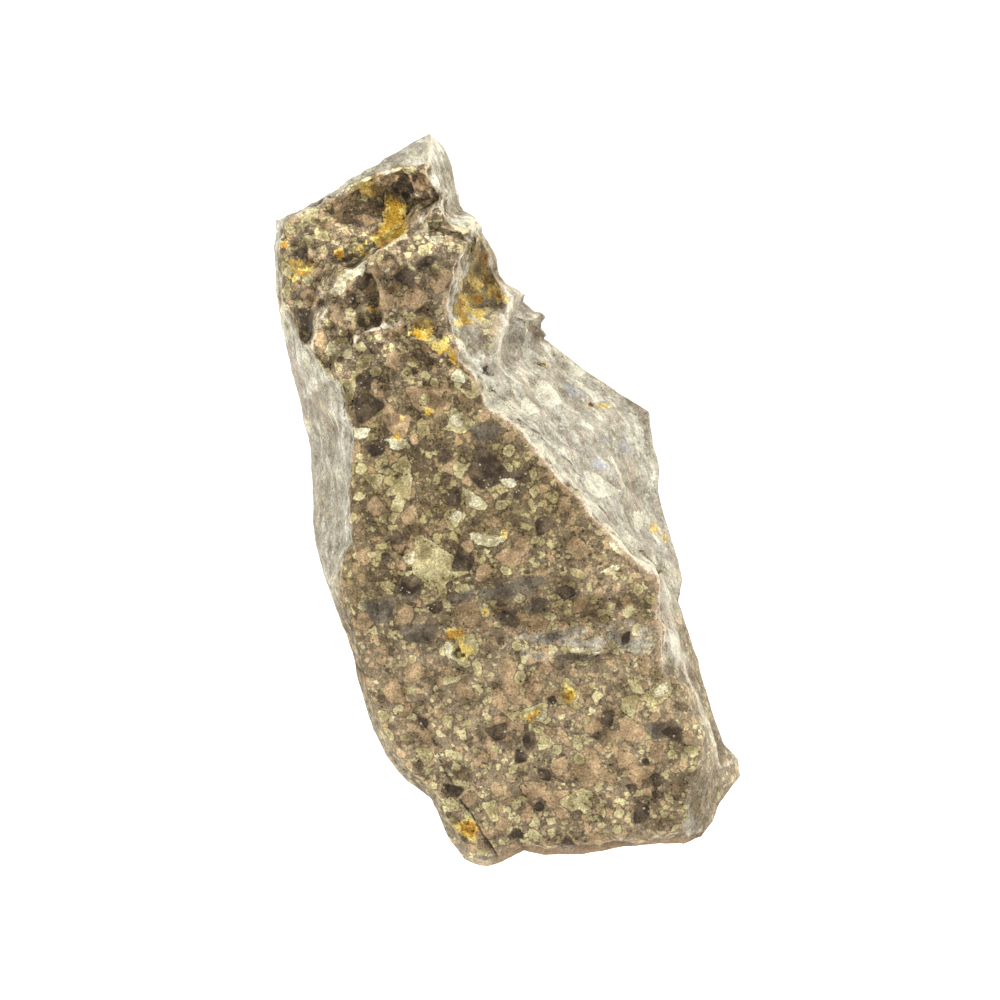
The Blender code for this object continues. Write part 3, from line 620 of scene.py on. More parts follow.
def markDepth(places, spots):
    # how far inside the nearest blocky spot each place is, in mm: one less the blockiness of the
    # offsets in half widths, times the spot's smaller half width
    across, down = toPixels(places)
    deepest = np.full(across.shape, farOutside)
    for spotAcross, spotDown, wide, high, *turned in spots:
        turn = sum(turned)
        if abs(wide - high) < blocks["roundWithin"]:
            # a round spot's sides face any way, set by its place
            turn = np.dot(blocks["placeTurn"], (spotAcross, spotDown))
        angle = math.radians(turn)
        right, below = across - spotAcross, down - spotDown
        offsetWide = (right * math.cos(angle) - below * math.sin(angle)) / wide
        offsetHigh = (right * math.sin(angle) + below * math.cos(angle)) / high
        ratio = blockiness([offsetWide, offsetHigh])
        deepest = np.maximum(deepest, (1 - ratio) * min(wide, high) * frontPixel / mm)
    return deepest


def faceDepth(places):
    # how far inside the speckled face each place is, in mm, and less than nothing outside it: a line
    # drawn to the right from a place inside crosses the border an odd number of times
    border = frontCreases["leftEdge"] + frontCreases["rightRidge"][::-1] + frontCreases["knobTop"][::-1]
    border += frontCreases["apexRidge"][:1:-1] + frontCreases["topEdge"][:0:-1]
    corners = list(dict.fromkeys(point[:2] for point in border))  # a shared corner once only
    corners.append(corners[0])
    across, down = toPixels(places)
    inside = np.zeros(across.shape, bool)
    for (startAcross, startDown), (endAcross, endDown) in zip(corners, corners[1:]):
        if startDown != endDown:
            share = (down - startDown) / (endDown - startDown)
            crosses = (share >= 0) & (share < 1)
            inside ^= crosses & (across < startAcross + share * (endAcross - startAcross))
    away = -lineDepth(places, [corners], 0)
    return np.clip(np.where(inside, away, -away), -surface["faceReach"], surface["faceReach"])


def grownDepth(places, cell, share, size, seed):
    # how far inside the nearest grown grain each place is, in mm: each cell has a random spot, turn,
    # stretch and size for its grain, and the grain's border is where its blockiness is its size
    least, more = blocks["grownSizes"]
    scaled = places / (cell * mm) + cellShift
    base = np.floor(scaled)
    deepest = np.full(places.shape[:-1], farOutside)
    for shift in np.ndindex(3, 3, 3):
        here = base + np.array(shift) - 1
        away = scaled - here - cellRandom(here, seed)
        filled, reach, turn = np.moveaxis(cellRandom(here, seed + 1), -1, 0)
        stretch = 1 + blocks["grownStretch"] * cellRandom(here, seed + 2)[..., 0]
        angle = turn * math.pi
        offsetWide = (away[..., 0] * np.cos(angle) + away[..., 1] * np.sin(angle)) / stretch
        offsetHigh = (away[..., 1] * np.cos(angle) - away[..., 0] * np.sin(angle)) * stretch
        depth = size * (least + more * reach) - blockiness([offsetWide, offsetHigh, away[..., 2]])
        deepest = np.maximum(deepest, np.where(filled < share, depth * cell, farOutside))
    return deepest


def reliefOver(places, insideFace):
    # all the relief in metres: bowls that fade out at the outline, then the finer break over everything
    def bowls(recipes, level):
        return sum(depth * (scallops(places, size * mm, seed) - level) for size, depth, seed in recipes)

    broadLevel, fineLevel = surface["bowlLevels"]
    uneven = sum(depth * lumps(places, size * mm, seed) for size, depth, seed in surface["lumps"])
    rimShare = np.clip(rimDistance(places) / (surface["rimFade"] * mm), surface["rimShare"], 1)
    low, high = surface["hollowsFrom"]
    below = np.clip((high - places[..., 1] / mm) / (high - low), 0, 1)
    fineShare = (1 - surface["smoother"] * np.clip(-insideFace, 0, 1)) * (1 - surface["flatter"] * below)
    fine = bowls(surface["fineScallops"], fineLevel) + uneven
    return (bowls(surface["scallops"], broadLevel) * rimShare + fine * fineShare) * mm


def shoulder():
    # one point just inside and below each point of the outline, so that the back starts steeply
    around = np.array(sum((side[:-1] for side in outline.values()), []), float)
    span = np.roll(around, -1, axis=0) - np.roll(around, 1, axis=0)
    inward = np.column_stack([span[:, 1], -span[:, 0]]) / np.hypot(span[:, 0], span[:, 1])[:, None]
    inset = around[:, :2] + surface["shoulderInset"] * inward
    drop = around[:, 2] - surface["shoulderDrop"]
    return [[(across, down, height)] for (across, down), height in zip(inset.tolist(), drop.tolist())]


def proudOf(shape, facing):
    # how far each point stands out from the same surface evened, in mm: less than nothing in hollows
    proud = 0
    for passes, weight in surface["crestEvening"]:
        ground = evened(evened(shape, passes, 0), passes, 1)
        proud = proud + weight * ((shape - ground) * facing).sum(axis=-1)
    return np.clip(proud / mm, -1, 1)


def valuesOver(places, isFront):
    # the numbers that the material reads at each point: depths inside marks, grains and lines, in mm
    outside = np.full(places.shape[:2], farOutside)
    values = {kind: markDepth(places, spots) if isFront else outside for kind, spots in marks.items()}
    for kind, recipe in grown.items():
        values[kind] = np.maximum(values[kind], grownDepth(places, *recipe))
    for kind, paths in lines.items():
        depth = lineDepth(places, paths, lineWidths[kind]) if isFront else outside
        values[kind] = np.maximum(depth, farOutside)
    values["face"] = faceDepth(places) if isFront else np.full(places.shape[:2], -surface["faceReach"])
    return values


def formStone():
    # the front and the back of the stone, each as a grid of places, its values and its spots on the sheet
    front, *frontSheet = sheetOf(facetsThrough(frontCreases.values()))
    backLines = [restingFace + restingFace[:1], *backCreases.values(), *shoulder()]
    back, *backSheet = sheetOf(facetsThrough(backLines))
    print("surface sampled")

    frontFacing, backFacing = facingOf(front), -facingOf(back)
    frontValues, backValues = valuesOver(front, True), valuesOver(back, False)
    frontRelief = reliefOver(front, frontValues["face"])
    for kind, height in markRelief.items():
        frontRelief += height * mm * np.clip(frontValues[kind] / surface["edgeOfMark"], 0, 1)
    rim = np.zeros(front.shape[:2], bool)
    rim[[0, -1]] = rim[:, [0, -1]] = True
    frontFacing[rim] = backFacing[rim] = (frontFacing[rim] + backFacing[rim]) / 2
    footFade = np.clip(back[..., 2] / (surface["footFade"] * mm), 0, 1)
    backRelief = reliefOver(back, backValues["face"]) * footFade
    backRelief[rim] = frontRelief[rim]
    front = front + frontFacing * frontRelief[..., None]
    back = back + backFacing * backRelief[..., None]
    back[..., 2] = np.maximum(back[..., 2], 0)
    # how far each place stands out, from which the material paints light on crests and shade in hollows
    frontValues["paintedReliefShade"] = proudOf(front, frontFacing)
    backValues["paintedReliefShade"] = proudOf(back, backFacing)
    print("relief added")
    return (front, frontValues, frontSheet), (back, backValues, backSheet)


def buildStone():
    # one list of points: the whole front grid, then the inside of the back grid
    (front, frontValues, frontSheet), (back, backValues, backSheet) = formStone()
    rows, columns = front.shape[:2]
    frontIds = np.arange(rows * columns).reshape(rows, columns)
    backIds = frontIds.copy()
    backIds[1:-1, 1:-1] = rows * columns + np.arange((rows - 2) * (columns - 2)).reshape(rows - 2, -1)

    def perPoint(onFront, onBack):
        values = onFront.shape[2:]
        return np.concatenate([onFront.reshape(-1, *values), onBack[1:-1, 1:-1].reshape(-1, *values)])

    def quads(ids, order):
        corners = [ids[:-1, :-1], ids[1:, :-1], ids[1:, 1:], ids[:-1, 1:]]
        return np.stack([corners[k] for k in order], axis=-1).reshape(-1, 4)

    points = perPoint(front, back)
    middle = (points.min(axis=0) + points.max(axis=0)) / 2
    points[:, :2] -= middle[:2]
    points = np.clip(points, np.array(cadBox[0]), np.array(cadBox[1]))
    faces = np.concatenate([quads(frontIds, (0, 1, 2, 3)), quads(backIds, (3, 2, 1, 0))])
    mesh = bpy.data.meshes.new("porphyryStone")
    mesh.from_pydata(points, [], faces.tolist())
    mesh.shade_smooth()

    for name in frontValues:
        attribute = mesh.attributes.new(name + "Depth", "FLOAT", "POINT")
        attribute.data.foreach_set("value", perPoint(frontValues[name], backValues[name]).astype(np.float32))
    # the place on the sheet in mm, for streaks that run along it
    shares = [perPoint(onFront, onBack) for onFront, onBack in zip(frontSheet, backSheet)]
    wide, long = surface["sheetSize"]
    sheetPlace = np.stack([shares[0] * wide, shares[1] * long, points[:, 2] / mm], axis=-1)
    attribute = mesh.attributes.new("sheetPlace", "FLOAT_VECTOR", "POINT")
    attribute.data.foreach_set("vector", sheetPlace.astype(np.float32).reshape(-1))
    mesh.update()
    stone = bpy.data.objects.new("porphyryStone", mesh)
    bpy.context.scene.collection.objects.link(stone)
    print("stone built:", len(points), "points,", 2 * len(faces), "triangles")
    return stone


def put(tree, kind, inputs=None, **settings):
    # one shader node: its settings, and a number, colour or link for each named input
    node = tree.nodes.new("ShaderNode" + kind)
    for name, value in settings.items():
        setattr(node, name, value)
    for name, value in (inputs or {}).items():
        if isinstance(value, bpy.types.NodeSocket):
            tree.links.new(value, node.inputs[name])
        else:
            node.inputs[name].default_value = value
    return node


def maths(tree, operation, first, second=0.0, third=0.0):
    return put(tree, "Math", {0: first, 1: second, 2: third}, operation=operation).outputs[0]


def fade(tree, value, low, high, atLow=0.0, atHigh=1.0):
    # one value below low, another above high, smooth between
    inputs = {"Value": value, "From Min": low, "From Max": high, "To Min": atLow, "To Max": atHigh}
    return put(tree, "MapRange", inputs, interpolation_type="SMOOTHSTEP").outputs["Result"]


def vectorMaths(tree, operation, first, second):
    return put(tree, "VectorMath", {0: first, 1: second}, operation=operation).outputs[0]


def scaledBy(tree, vector, factor):
    return put(tree, "VectorMath", {0: vector, "Scale": factor}, operation="SCALE").outputs[0]


def parted(tree, colour):
    return put(tree, "SeparateColor", {0: colour}).outputs


def blendColour(tree, factor, first, second, how="MIX"):
    # the node's inputs 6 and 7 and its output 2 are the ones for colours
    return put(tree, "Mix", {0: factor, 6: first, 7: second}, data_type="RGBA", blend_type=how).outputs[2]


def tint(red, green, blue):
    return (red, green, blue, 1.0)


def newGroup(name, inputs, outputs):
    group = bpy.data.node_groups.new(name, "ShaderNodeTree")
    for label, kind, value in inputs:
        socket = group.interface.new_socket(name=label, in_out="INPUT", socket_type="NodeSocket" + kind)
        if value is not None:
            socket.default_value = value
    for label, kind in outputs:
        group.interface.new_socket(name=label, in_out="OUTPUT", socket_type="NodeSocket" + kind)
    return group, group.nodes.new("NodeGroupInput").outputs, group.nodes.new("NodeGroupOutput").inputs


# The small crystals: how much narrower they are along each of their own axes, the span and the start
# of their random sizes as shares of the full size, and radians of turn for a random number of 1
blockStretch = (1.4, 1.0, 0.8)
blockReach = (0.7, 0.55)
blockTurn = 6.3


def makeGrainGroup():
    # crystals: a block round each cell's point, of its own turn and size, in some of the cells
    group, given, made = newGroup(
        "raggedGrains",
        [
            ("Place", "Vector", None), ("Cell", "Float", 1.0), ("Share", "Float", 0.4),
            ("Size", "Float", 0.5), ("Softness", "Float", 0.15), ("Shift", "Float", 0.0),
        ],
        [("Mask", "Float"), ("Tone", "Float"), ("Kind", "Float")],
    )
    calc, vectors = partial(maths, group), partial(vectorMaths, group)
    cells = scaledBy(group, given["Place"], calc("DIVIDE", 1.0, given["Cell"]))
    shifted = vectors("ADD", cells, given["Shift"])
    nearest = put(group, "TexVoronoi", {"Vector": shifted, "Scale": 1.0}, feature="F1").outputs
    numbers = parted(group, nearest["Color"])
    filled = calc("LESS_THAN", numbers[0], given["Share"])
    turn = {
        "Vector": vectors("SUBTRACT", shifted, nearest["Position"]),
        "Rotation": scaledBy(group, nearest["Color"], blockTurn),
    }
    turned = put(group, "VectorRotate", turn, rotation_type="EULER_XYZ").outputs[0]
    sides = put(group, "SeparateXYZ", {0: vectors("ABSOLUTE", turned, (0.0, 0.0, 0.0))}).outputs
    stretched = [calc("MULTIPLY", side, stretch) for side, stretch in zip(sides, blockStretch)]
    widest = calc("MAXIMUM", calc("MAXIMUM", stretched[0], stretched[1]), stretched[2])
    reach = calc("MULTIPLY", given["Size"], calc("MULTIPLY_ADD", numbers[1], *blockReach))
    inside = fade(group, calc("SUBTRACT", reach, widest), 0.0, given["Softness"])
    group.links.new(calc("MULTIPLY", filled, inside), made["Mask"])
    group.links.new(numbers[1], made["Tone"])
    group.links.new(numbers[2], made["Kind"])
    return group


# Colours of the stone and of what is in it
colours = {
    "matrixDark": tint(0.148, 0.109, 0.063),
    "matrixPale": tint(0.252, 0.192, 0.116),
    "rim": tint(0.100, 0.072, 0.040),
    "creamDeep": tint(0.390, 0.320, 0.145),
    "creamPale": tint(0.640, 0.565, 0.300),
    "pinkDeep": tint(0.330, 0.228, 0.122),
    "pinkPale": tint(0.520, 0.362, 0.200),
    "quartzDark": tint(0.028, 0.017, 0.008),
    "quartzGrey": tint(0.120, 0.084, 0.048),
    "blueQuartzDark": tint(0.068, 0.054, 0.037),
    "blueQuartzGrey": tint(0.178, 0.147, 0.104),
    "goldDeep": tint(0.620, 0.360, 0.030),
    "goldPale": tint(1.000, 0.800, 0.250),
    "rustDeep": tint(0.150, 0.060, 0.008),
    "rustPale": tint(0.560, 0.250, 0.025),
    "ochreDeep": tint(0.130, 0.085, 0.020),
    "ochrePale": tint(0.480, 0.330, 0.075),
    "whiteDeep": tint(0.560, 0.490, 0.280),
    "whitePale": tint(0.840, 0.790, 0.560),
    "veinGrey": tint(0.200, 0.180, 0.140),
    "veinPale": tint(0.400, 0.375, 0.310),
    "wisp": tint(0.520, 0.450, 0.320),
    "dark": tint(0.035, 0.026, 0.020),
    "dust": tint(0.610, 0.570, 0.470),
    "dustShade": tint(0.450, 0.405, 0.335),
    "dustRose": tint(0.470, 0.385, 0.305),
    "dustWhite": tint(0.830, 0.815, 0.660),
    "dustBlue": tint(0.560, 0.565, 0.580),
    "dustYellow": tint(0.640, 0.595, 0.400),
    "fleck": tint(0.270, 0.190, 0.110),
    "paintedShadeTint": tint(1.000, 0.920, 0.780),  # multiplies the darker places: the warm tint of painted shade
    "paleRidge": tint(0.700, 0.620, 0.480),
    "tan": tint(0.360, 0.262, 0.165),
    "paintedFootShade": tint(0.290, 0.190, 0.105),
    "olive": tint(0.740, 0.720, 0.620),  # multiplies the middle of the stone
}
# How each kind of mark shows: its two colours, mm of soft border, strength and dark rim
markLooks = {
    "pink": ("pinkDeep", "pinkPale", 0.08, 0.80, 0.45),
    "cream": ("creamDeep", "creamPale", 0.08, 0.90, 0.55),
    "vein": ("veinGrey", "veinPale", 0.90, 0.85, 0.0),
    "blueQuartz": ("blueQuartzDark", "blueQuartzGrey", 0.20, 0.85, 0.30),
    "quartz": ("quartzDark", "quartzGrey", 0.06, 0.95, 0.50),
    "ochre": ("ochreDeep", "ochrePale", 0.50, 0.85, 0.0),
    "white": ("whiteDeep", "whitePale", 0.10, 0.88, 0.30),
    "gold": ("goldDeep", "goldPale", 0.35, 0.90, 0.10),
    "rust": ("rustDeep", "rustPale", 0.25, 0.85, 0.0),
}
# How far, in mm, coarse noise moves the border of each kind of mark and line
raggedness = {
    "pink": 0.5, "cream": 0.5, "vein": 3.5, "blueQuartz": 1.6, "quartz": 0.25, "ochre": 3.0, "white": 0.8,
    "gold": 2.0, "rust": 1.6, "bare": 1.0, "shade": 4.0, "pale": 4.0, "dark": 1.5, "crack": 0.3,
    "hairline": 0.25, "paleRidge": 1.5, "tan": 2.2, "paintedFootShade": 0.8, "paintedReliefShade": 0.12,
}
# Noises: waves per mm, layers of detail and their roughness
noises = {
    "push": (1.3, 3.0, 0.7),
    "salt": (2.7, 3.0, 0.7),
    "sharp": (4.5, 2.0, 0.65),
    "crumb": (1.4, 3.0, 0.65),
    "tone": (0.45, 1.0, 0.5),
    "slow": (0.14, 2.0, 0.55),
    "grit": (1.7, 3.0, 0.7),
    "streaks": (1.0, 3.0, 0.65),
    "bands": (1.0, 5.0, 0.62),
}
# Along the sheet, the streaks and bands have so many waves per mm across, along and up
streakWaves = (3.0, 1.2, 3.0)
bandWaves = (0.55, 0.22, 0.55)
# Small crystals, and specks over everything: the inputs of the group above, with Cell in mm
grainLayers = {
    "fine": {"Cell": 0.60, "Share": 0.58, "Size": 0.50, "Softness": 0.07, "Shift": 3.1},
    "small": {"Cell": 1.25, "Share": 0.66, "Size": 0.46, "Softness": 0.05, "Shift": 11.7},
    "specks": {"Cell": 0.30, "Share": 0.26, "Size": 0.50, "Softness": 0.20, "Shift": 27.4},
}
grainStrengths = {"fine": 0.85, "small": 0.90}
# Each grain's kind is a random number from 0 to 1
kinds = {"creamAbove": 0.60, "quartzBelow": 0.18, "fleckBelow": 0.13, "glintAbove": 0.78, "paleAbove": 0.5}
# Thin lines where a noise is close to one value: the value, how close, strength
threads = {"wisps": (0.5, 0.035, 1.0), "crazing": (0.5, 0.025, 0.55), "brown": (0.47, 0.012, 0.8)}
amounts = {
    "grainPush": 0.45,  # mm that noise moves the borders of small crystals
    "streakPush": 0.8,  # and waves that it moves the streaks and the bands
    "bandPush": 0.4,
    "fleck": 0.4,  # strength of the flecks in the dust
    "glint": 0.6,  # and of the painted glints in the quartz
    "slowCover": 0.6,  # share of the slow noise in where the dust lies
    "calmDust": 0.6,  # how much weaker the painted light on crests and painted shade in hollows are under dust
    "calmStains": 0.7,  # and under stains
    "sheen": 0.25,
    "gritHeight": 0.0006,
}
# Weights of values that are added up, and last a number that is added to their sum
mixes = {
    "rough": (0.9, -0.45),  # of the coarse noise: about nothing in the middle
    "mottle": (0.4, 0.9, 0.3, -0.3),  # of the coarse noise, the tone and the fine noise
    "wander": (2.0, 2.4, -1.2),  # of the rough and the tone, for mm of the dust's border
    "unstained": (-0.95, 1.0),  # of the stains: the share of dust that they leave
    "gritty": (-0.4, 1.0),  # of the dust: the share of fine grain that it leaves
    "speckLevel": (0.85, -0.45),  # of the pale specks: how light the specks are
    "darkShare": (-0.35, 0.92),  # of the small crystals: the share of dark that they leave
}
# Where each effect sets in: from, to, and its two values there where these aren't 0 and 1
ramps = {
    # noise
    "ground": (0.28, 0.72),
    "blotch": (0.36, 0.64),
    "wispPlaces": (0.42, 0.60),
    "dustStreaks": (0.36, 0.60),
    "dustRose": (0.40, 0.50, 0.75, 0.0),
    "dustBlue": (0.55, 0.62, 0.0, 0.3),
    "dustYellow": (0.52, 0.66, 0.0, 0.7),
    "dustWhite": (0.51, 0.59, 0.0, 0.9),
    "brownPlaces": (0.50, 0.56),
    "cover": (0.62, 0.95, 0.94, 0.50),
    "paleRidgePlaces": (0.34, 0.60, 0.25, 0.85),
    "saltLevel": (0.30, 0.70, -0.17, 0.15),
    "sharpLevel": (0.34, 0.66, -0.22, 0.20),
    # mm down the sheet from the top
    "footPaler": (40, 78, 0.0, 0.16),
    "oliveFrom": (24, 34),
    "oliveTo": (52, 66, 1.0, 0.0),
    "wispsFewer": (22, 42, 0.9, 0.4),
    "crestsWeaker": (22, 42, 1.4, 1.0),
    # mm inside a mark or a line
    "rim": (-0.16, -0.02),
    "bare": (-0.5, 0.7, 1.0, 0.20),
    # in the shade marks, painted shade, and in the pale marks, painted light
    "shade": (0.0, 1.6, 1.0, 0.62),
    "pale": (0.0, 1.6, 1.0, 1.50),
    "dark": (0.0, 0.25),
    "crack": (-0.06, 0.08),
    "hairline": (-0.04, 0.08, 0.0, 0.75),
    "paleRidge": (-0.05, 0.35),
    "tan": (0.0, 0.4),
    "paintedFootShade": (0.0, 0.2, 0.0, 0.85),
    # mm inside the speckled face
    "nearFace": (-2.8, -0.3, 0.0, 0.10),
    "dustBorder": (-0.1, 0.6),
    "tanBorder": (-0.2, 0.1, 0.0, 0.8),
    # mm that a crest stands out, for painted light on crests and painted shade in hollows; the level of
    # light, for the warm tint of painted shade; and the share of quartz
    "paintedReliefShade": (-0.22, 0.22, -0.44, 0.40),
    "paintedShadeTint": (0.40, 0.92, 1.0, 0.0),
    "roughness": (0.0, 1.0, 0.85, 0.40),
}


def makeStoneMaterial():
    # fine ground mass, crystals and dark grains in it, the vein and stains, pale lines along the ridges,
    # cracks, and dust on the breaks outside the speckled face, with painted light and shade on top
    material = bpy.data.materials.new("porphyry")
    material.use_nodes = True
    tree = material.node_tree
    shader = tree.nodes["Principled BSDF"]
    grains = makeGrainGroup()
    calc, vectors, blend = partial(maths, tree), partial(vectorMaths, tree), partial(blendColour, tree)
    plus, less, times, larger = (partial(calc, name) for name in ("ADD", "SUBTRACT", "MULTIPLY", "MAXIMUM"))
    timesPlus, under, over = (partial(calc, name) for name in ("MULTIPLY_ADD", "LESS_THAN", "GREATER_THAN"))

    def ramp(value, name):
        return fade(tree, value, *ramps[name])

    def perPoint(name, output="Fac"):
        return put(tree, "Attribute", attribute_name=name).outputs[output]

    def noise(name, where):
        waves, detail, roughness = noises[name]
        inputs = {"Vector": where, "Scale": waves, "Detail": detail, "Roughness": roughness}
        return put(tree, "TexNoise", inputs).outputs

    def grainLayer(name):
        return put(tree, "Group", {"Place": warped, **grainLayers[name]}, node_tree=grains).outputs

    def ragged(name):
        # mm inside a mark or line, its border moved by the coarse noise
        return timesPlus(rough, raggedness[name], perPoint(name + "Depth"))

    def mixed(name, *values):
        *weights, total = mixes[name]
        for value, weight in zip(values, weights):
            total = timesPlus(value, weight, total)
        return total

    def threadsOf(value, name):
        # thin lines where a noise is close to one value
        middle, width, strength = threads[name]
        return fade(tree, calc("ABSOLUTE", less(value, middle)), 0.0, width, strength, 0.0)

    def alongSheet(name, waves, pushed):
        stretched = vectors("MULTIPLY", sheetPlace, waves)
        return noise(name, vectors("ADD", stretched, scaledBy(tree, push, pushed)))

    place = scaledBy(tree, put(tree, "TexCoord").outputs["Object"], 1 / mm)
    push = vectors("SUBTRACT", noise("push", place)["Color"], (0.5, 0.5, 0.5))
    warped = vectors("ADD", place, scaledBy(tree, push, amounts["grainPush"]))
    salt, sharp, slow, tone = (noise(name, place)["Fac"] for name in ("salt", "sharp", "slow", "tone"))
    crumb = noise("crumb", warped)["Fac"]
    rough = mixed("rough", crumb)
    sheetPlace = perPoint("sheetPlace", "Vector")
    down = put(tree, "SeparateXYZ", {0: sheetPlace}).outputs["Y"]

    # the ground mass, paler towards the foot, then the small crystals in it
    patchy = plus(plus(rough, slow), ramp(down, "footPaler"))
    colour = blend(ramp(patchy, "ground"), colours["matrixDark"], colours["matrixPale"])
    layers = {name: grainLayer(name) for name in grainLayers}
    for name, strength in grainStrengths.items():
        layer = layers[name]
        cream = blend(layer["Tone"], colours["creamDeep"], colours["creamPale"])
        pink = blend(layer["Tone"], colours["pinkDeep"], colours["pinkPale"])
        own = blend(over(layer["Kind"], kinds["creamAbove"]), pink, cream)
        own = blend(under(layer["Kind"], kinds["quartzBelow"]), own, colours["quartzGrey"])
        colour = blend(times(layer["Mask"], strength), colour, own)

    # the middle of the stone is darker and a little olive
    middle = times(ramp(down, "oliveFrom"), ramp(down, "oliveTo"))
    colour = blend(middle, colour, colours["olive"], "MULTIPLY")

    # pale wisps along the torn break
    wisps = times(threadsOf(crumb, "wisps"), ramp(salt, "wispPlaces"))
    colour = blend(times(wisps, ramp(down, "wispsFewer")), colour, colours["wisp"])

    # the larger crystals and grains, the vein and the stains, with ragged borders
    blotch = ramp(mixed("mottle", crumb, tone, salt), "blotch")
    masks = {}
    for kind, (dark, pale, soft, strength, rim) in markLooks.items():
        inside = ragged(kind)
        colour = blend(fade(tree, inside, *ramps["rim"], 0.0, rim), colour, colours["rim"])
        masks[kind] = times(fade(tree, inside, 0.0, soft), strength)
        colour = blend(masks[kind], colour, blend(blotch, colours[dark], colours[pale]))

    # fine dark cracks all through the crystals
    crystals = larger(larger(masks["cream"], masks["white"]), masks["pink"])
    colour = blend(times(threadsOf(salt, "crazing"), crystals), colour, colours["rim"])

    # pale dust, drawn out in streaks along the breaks
    streaks = alongSheet("streaks", streakWaves, amounts["streakPush"])
    bands = alongSheet("bands", bandWaves, amounts["bandPush"])
    streakNumbers, bandNumbers = parted(tree, streaks["Color"]), parted(tree, bands["Color"])
    dust = blend(ramp(streaks["Fac"], "dustStreaks"), colours["dustShade"], colours["dust"])
    dust = blend(ramp(bandNumbers[0], "dustRose"), dust, colours["dustRose"])
    dust = blend(ramp(bandNumbers[2], "dustBlue"), dust, colours["dustBlue"])
    dust = blend(ramp(streakNumbers[2], "dustYellow"), dust, colours["dustYellow"])
    nearFace = ramp(perPoint("faceDepth"), "nearFace")
    whiteInside = larger(ramp(plus(bandNumbers[1], nearFace), "dustWhite"), masks["white"])
    dust = blend(whiteInside, dust, colours["dustWhite"])
    dust = blend(masks["blueQuartz"], dust, colours["dustBlue"])
    brown = times(threadsOf(bands["Fac"], "brown"), ramp(tone, "brownPlaces"))
    dust = blend(brown, dust, colours["fleck"])
    isFleck = times(layers["fine"]["Mask"], under(layers["fine"]["Kind"], kinds["fleckBelow"]))
    dust = blend(times(isFleck, amounts["fleck"]), dust, colours["fleck"])

    # it lies outside the speckled face, behind a wandering border, and thinner on bare places and stains
    outer = ramp(less(mixed("wander", rough, tone), perPoint("faceDepth")), "dustBorder")
    cover = ramp(plus(crumb, times(slow, amounts["slowCover"])), "cover")
    stained = larger(masks["gold"], masks["ochre"])
    dustMask = times(times(times(outer, cover), ramp(ragged("bare"), "bare")), mixed("unstained", stained))
    tanInside = times(ramp(ragged("tan"), "tan"), ramp(perPoint("faceDepth"), "tanBorder"))
    colour = blend(tanInside, colour, colours["tan"])
    colour = blend(dustMask, colour, dust)
    # a dark warm line along the foot edge: painted shade with the tint of a painted reflection
    colour = blend(ramp(ragged("paintedFootShade"), "paintedFootShade"), colour, colours["paintedFootShade"])
    paleRidgeMask = times(ramp(ragged("paleRidge"), "paleRidge"), ramp(tone, "paleRidgePlaces"))
    colour = blend(paleRidgeMask, colour, colours["paleRidge"])

    # painted glints in the quartz: pale specks in its colour that stand in for highlights
    specks = layers["specks"]
    paintedGlints = times(specks["Mask"], over(specks["Kind"], kinds["glintAbove"]))
    colour = blend(times(times(paintedGlints, amounts["glint"]), masks["quartz"]), colour, colours["wisp"])

    # how light it is: fine grain, painted light on crests and painted shade in hollows, painted shade in the
    # shade marks and painted light in the pale marks (partly darker and paler stone), specks
    gritty = mixed("gritty", dustMask)
    level = timesPlus(plus(ramp(salt, "saltLevel"), ramp(sharp, "sharpLevel")), gritty, 1.0)
    calm = larger(times(dustMask, amounts["calmDust"]), times(stained, amounts["calmStains"]))
    reliefShadePart = times(less(1.0, calm), ramp(down, "crestsWeaker"))
    level = times(level, timesPlus(ramp(ragged("paintedReliefShade"), "paintedReliefShade"), reliefShadePart, 1.0))
    # painted shade in the shade marks and painted light in the pale marks, partly darker and paler stone
    for kind in ("shade", "pale"):
        level = times(level, ramp(ragged(kind), kind))
    speckLevel = times(mixed("speckLevel", over(specks["Kind"], kinds["paleAbove"])), gritty)
    level = timesPlus(specks["Mask"], speckLevel, level)
    colour = scaledBy(tree, colour, level)
    # the darker places are tinted warm: painted shade
    colour = blend(ramp(level, "paintedShadeTint"), colour, colours["paintedShadeTint"], "MULTIPLY")

    # cracks and pits, with the black in the pits painted shade
    darkMask = larger(ramp(ragged("crack"), "crack"), ramp(ragged("dark"), "dark"))
    darkMask = larger(darkMask, ramp(ragged("hairline"), "hairline"))
    darkMask = times(darkMask, mixed("darkShare", layers["fine"]["Mask"]))
    colour = blend(darkMask, colour, colours["dark"])
    tree.links.new(colour, shader.inputs["Base Color"])

    # dry break, with a little gloss on the quartz
    shader.inputs["Specular IOR Level"].default_value = amounts["sheen"]
    glassy = times(larger(masks["quartz"], masks["blueQuartz"]), less(1.0, dustMask))
    tree.links.new(ramp(glassy, "roughness"), shader.inputs["Roughness"])

    grit = {"Height": noise("grit", place)["Fac"], "Distance": amounts["gritHeight"], "Strength": 1.0}
    tree.links.new(put(tree, "Bump", grit).outputs["Normal"], shader.inputs["Normal"])
    return material


stage = {
    "floorSize": 3.0,  # metres
    "floorHeight": -0.0002,
    "floorGlow": 0.5,
    "floorColour": (0.92, 0.92, 0.92),
    "floorRoughness": 0.9,
    "roomLight": 0.12,
    "imagePixels": 1000,
    "sensor": 36,  # mm
    "cameraPlace": (-0.00103, -0.00006),  # puts the stone on its pixels of the photograph
    # place in metres, diameter, watts, colour
    "lights": {
        "overhead": ((0.05, -0.20, 0.88), 0.2, 4.0, (1.0, 0.99, 0.98)),
        "rightSide": ((0.55, 0.42, 0.32), 0.18, 3.3, (1.0, 0.99, 0.98)),
        "leftSide": ((-0.55, -0.22, 0.46), 0.3, 2.5, (1.0, 1.0, 1.0)),
        "behind": ((0.05, 0.75, 0.30), 0.4, 1.8, (1.0, 1.0, 1.0)),
        "foot": ((0.0, -0.55, 0.62), 0.2, 1.8, (1.0, 1.0, 1.0)),
    },
}


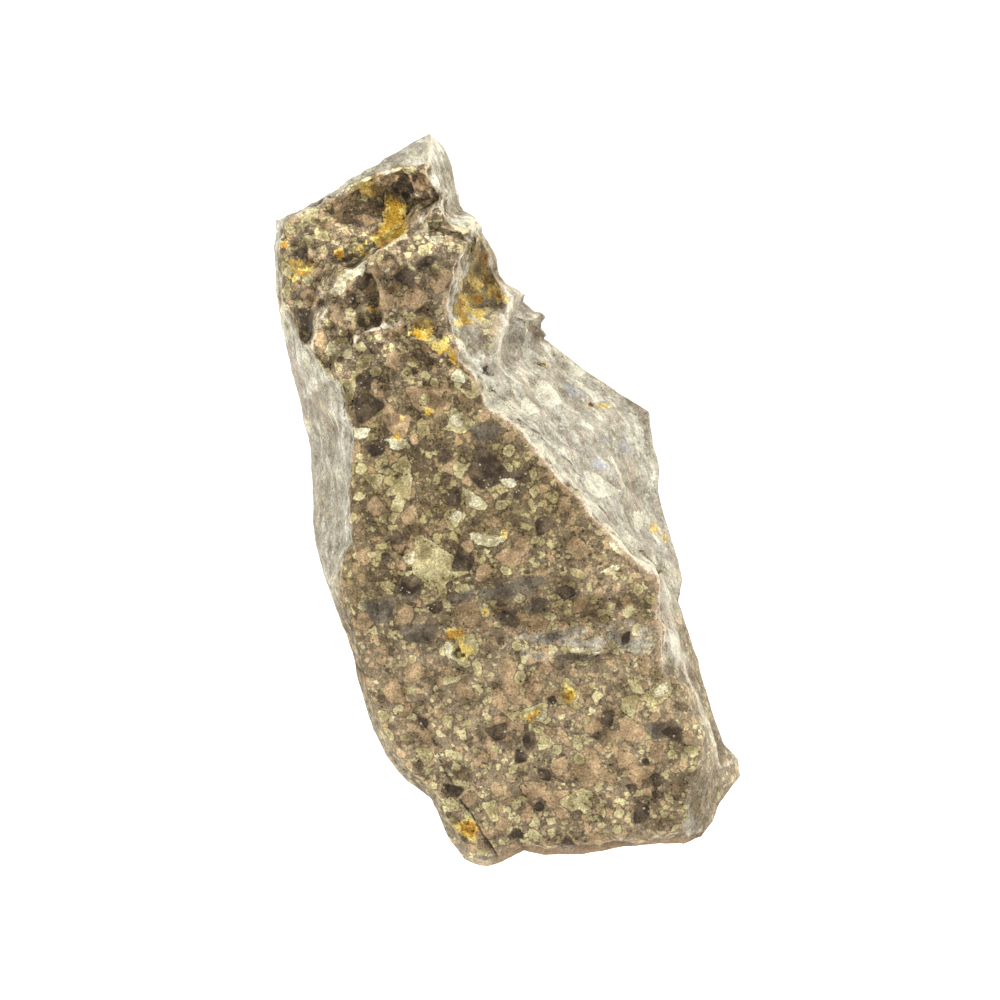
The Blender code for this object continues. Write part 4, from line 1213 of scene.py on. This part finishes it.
def buildFloor():
    # a pale floor under the stone that glows a little
    half, height = stage["floorSize"] / 2, stage["floorHeight"]
    corners = [(-half, -half, height), (half, -half, height), (half, half, height), (-half, half, height)]
    mesh = bpy.data.meshes.new("floor")
    mesh.from_pydata(corners, [], [(0, 1, 2, 3)])
    floor = bpy.data.objects.new("floor", mesh)
    bpy.context.scene.collection.objects.link(floor)
    material = bpy.data.materials.new("paleFloor")
    material.use_nodes = True
    inputs = material.node_tree.nodes["Principled BSDF"].inputs
    inputs["Base Color"].default_value = tint(*stage["floorColour"])
    inputs["Roughness"].default_value = stage["floorRoughness"]
    inputs["Emission Color"].default_value = tint(1, 1, 1)
    inputs["Emission Strength"].default_value = stage["floorGlow"]
    mesh.materials.append(material)


def buildLights():
    # soft discs that face the stone, and an even white room
    for name, (position, size, power, colour) in stage["lights"].items():
        lamp = bpy.data.lights.new(name, "AREA")
        lamp.shape = "DISK"
        lamp.size = size
        lamp.energy = power
        lamp.color = colour
        light = bpy.data.objects.new(name, lamp)
        light.location = position
        light.rotation_euler = (-Vector(position)).to_track_quat("-Z", "Y").to_euler()
        bpy.context.scene.collection.objects.link(light)
    world = bpy.data.worlds.new("room")
    world.use_nodes = True
    background = world.node_tree.nodes["Background"]
    background.inputs["Color"].default_value = tint(1, 1, 1)
    background.inputs["Strength"].default_value = stage["roomLight"]
    bpy.context.scene.world = world


def buildCamera():
    # straight above the stone, as in the photograph
    lens = bpy.data.cameras.new("camera")
    lens.sensor_width = stage["sensor"]
    pictureWidth = stage["imagePixels"] * tablePixel
    lens.lens = stage["sensor"] * photo["closer"] * photo["cameraHeight"] / pictureWidth
    camera = bpy.data.objects.new("camera", lens)
    camera.location = (*stage["cameraPlace"], photo["cameraHeight"])
    bpy.context.scene.collection.objects.link(camera)
    bpy.context.scene.camera = camera
    bpy.context.scene.view_settings.view_transform = "Standard"


stone = buildStone()
stone.data.materials.append(makeStoneMaterial())
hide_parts("porphyry_specimen")
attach(stone, "root")
print("material made")
buildFloor()
buildLights()
buildCamera()
print("stage set")
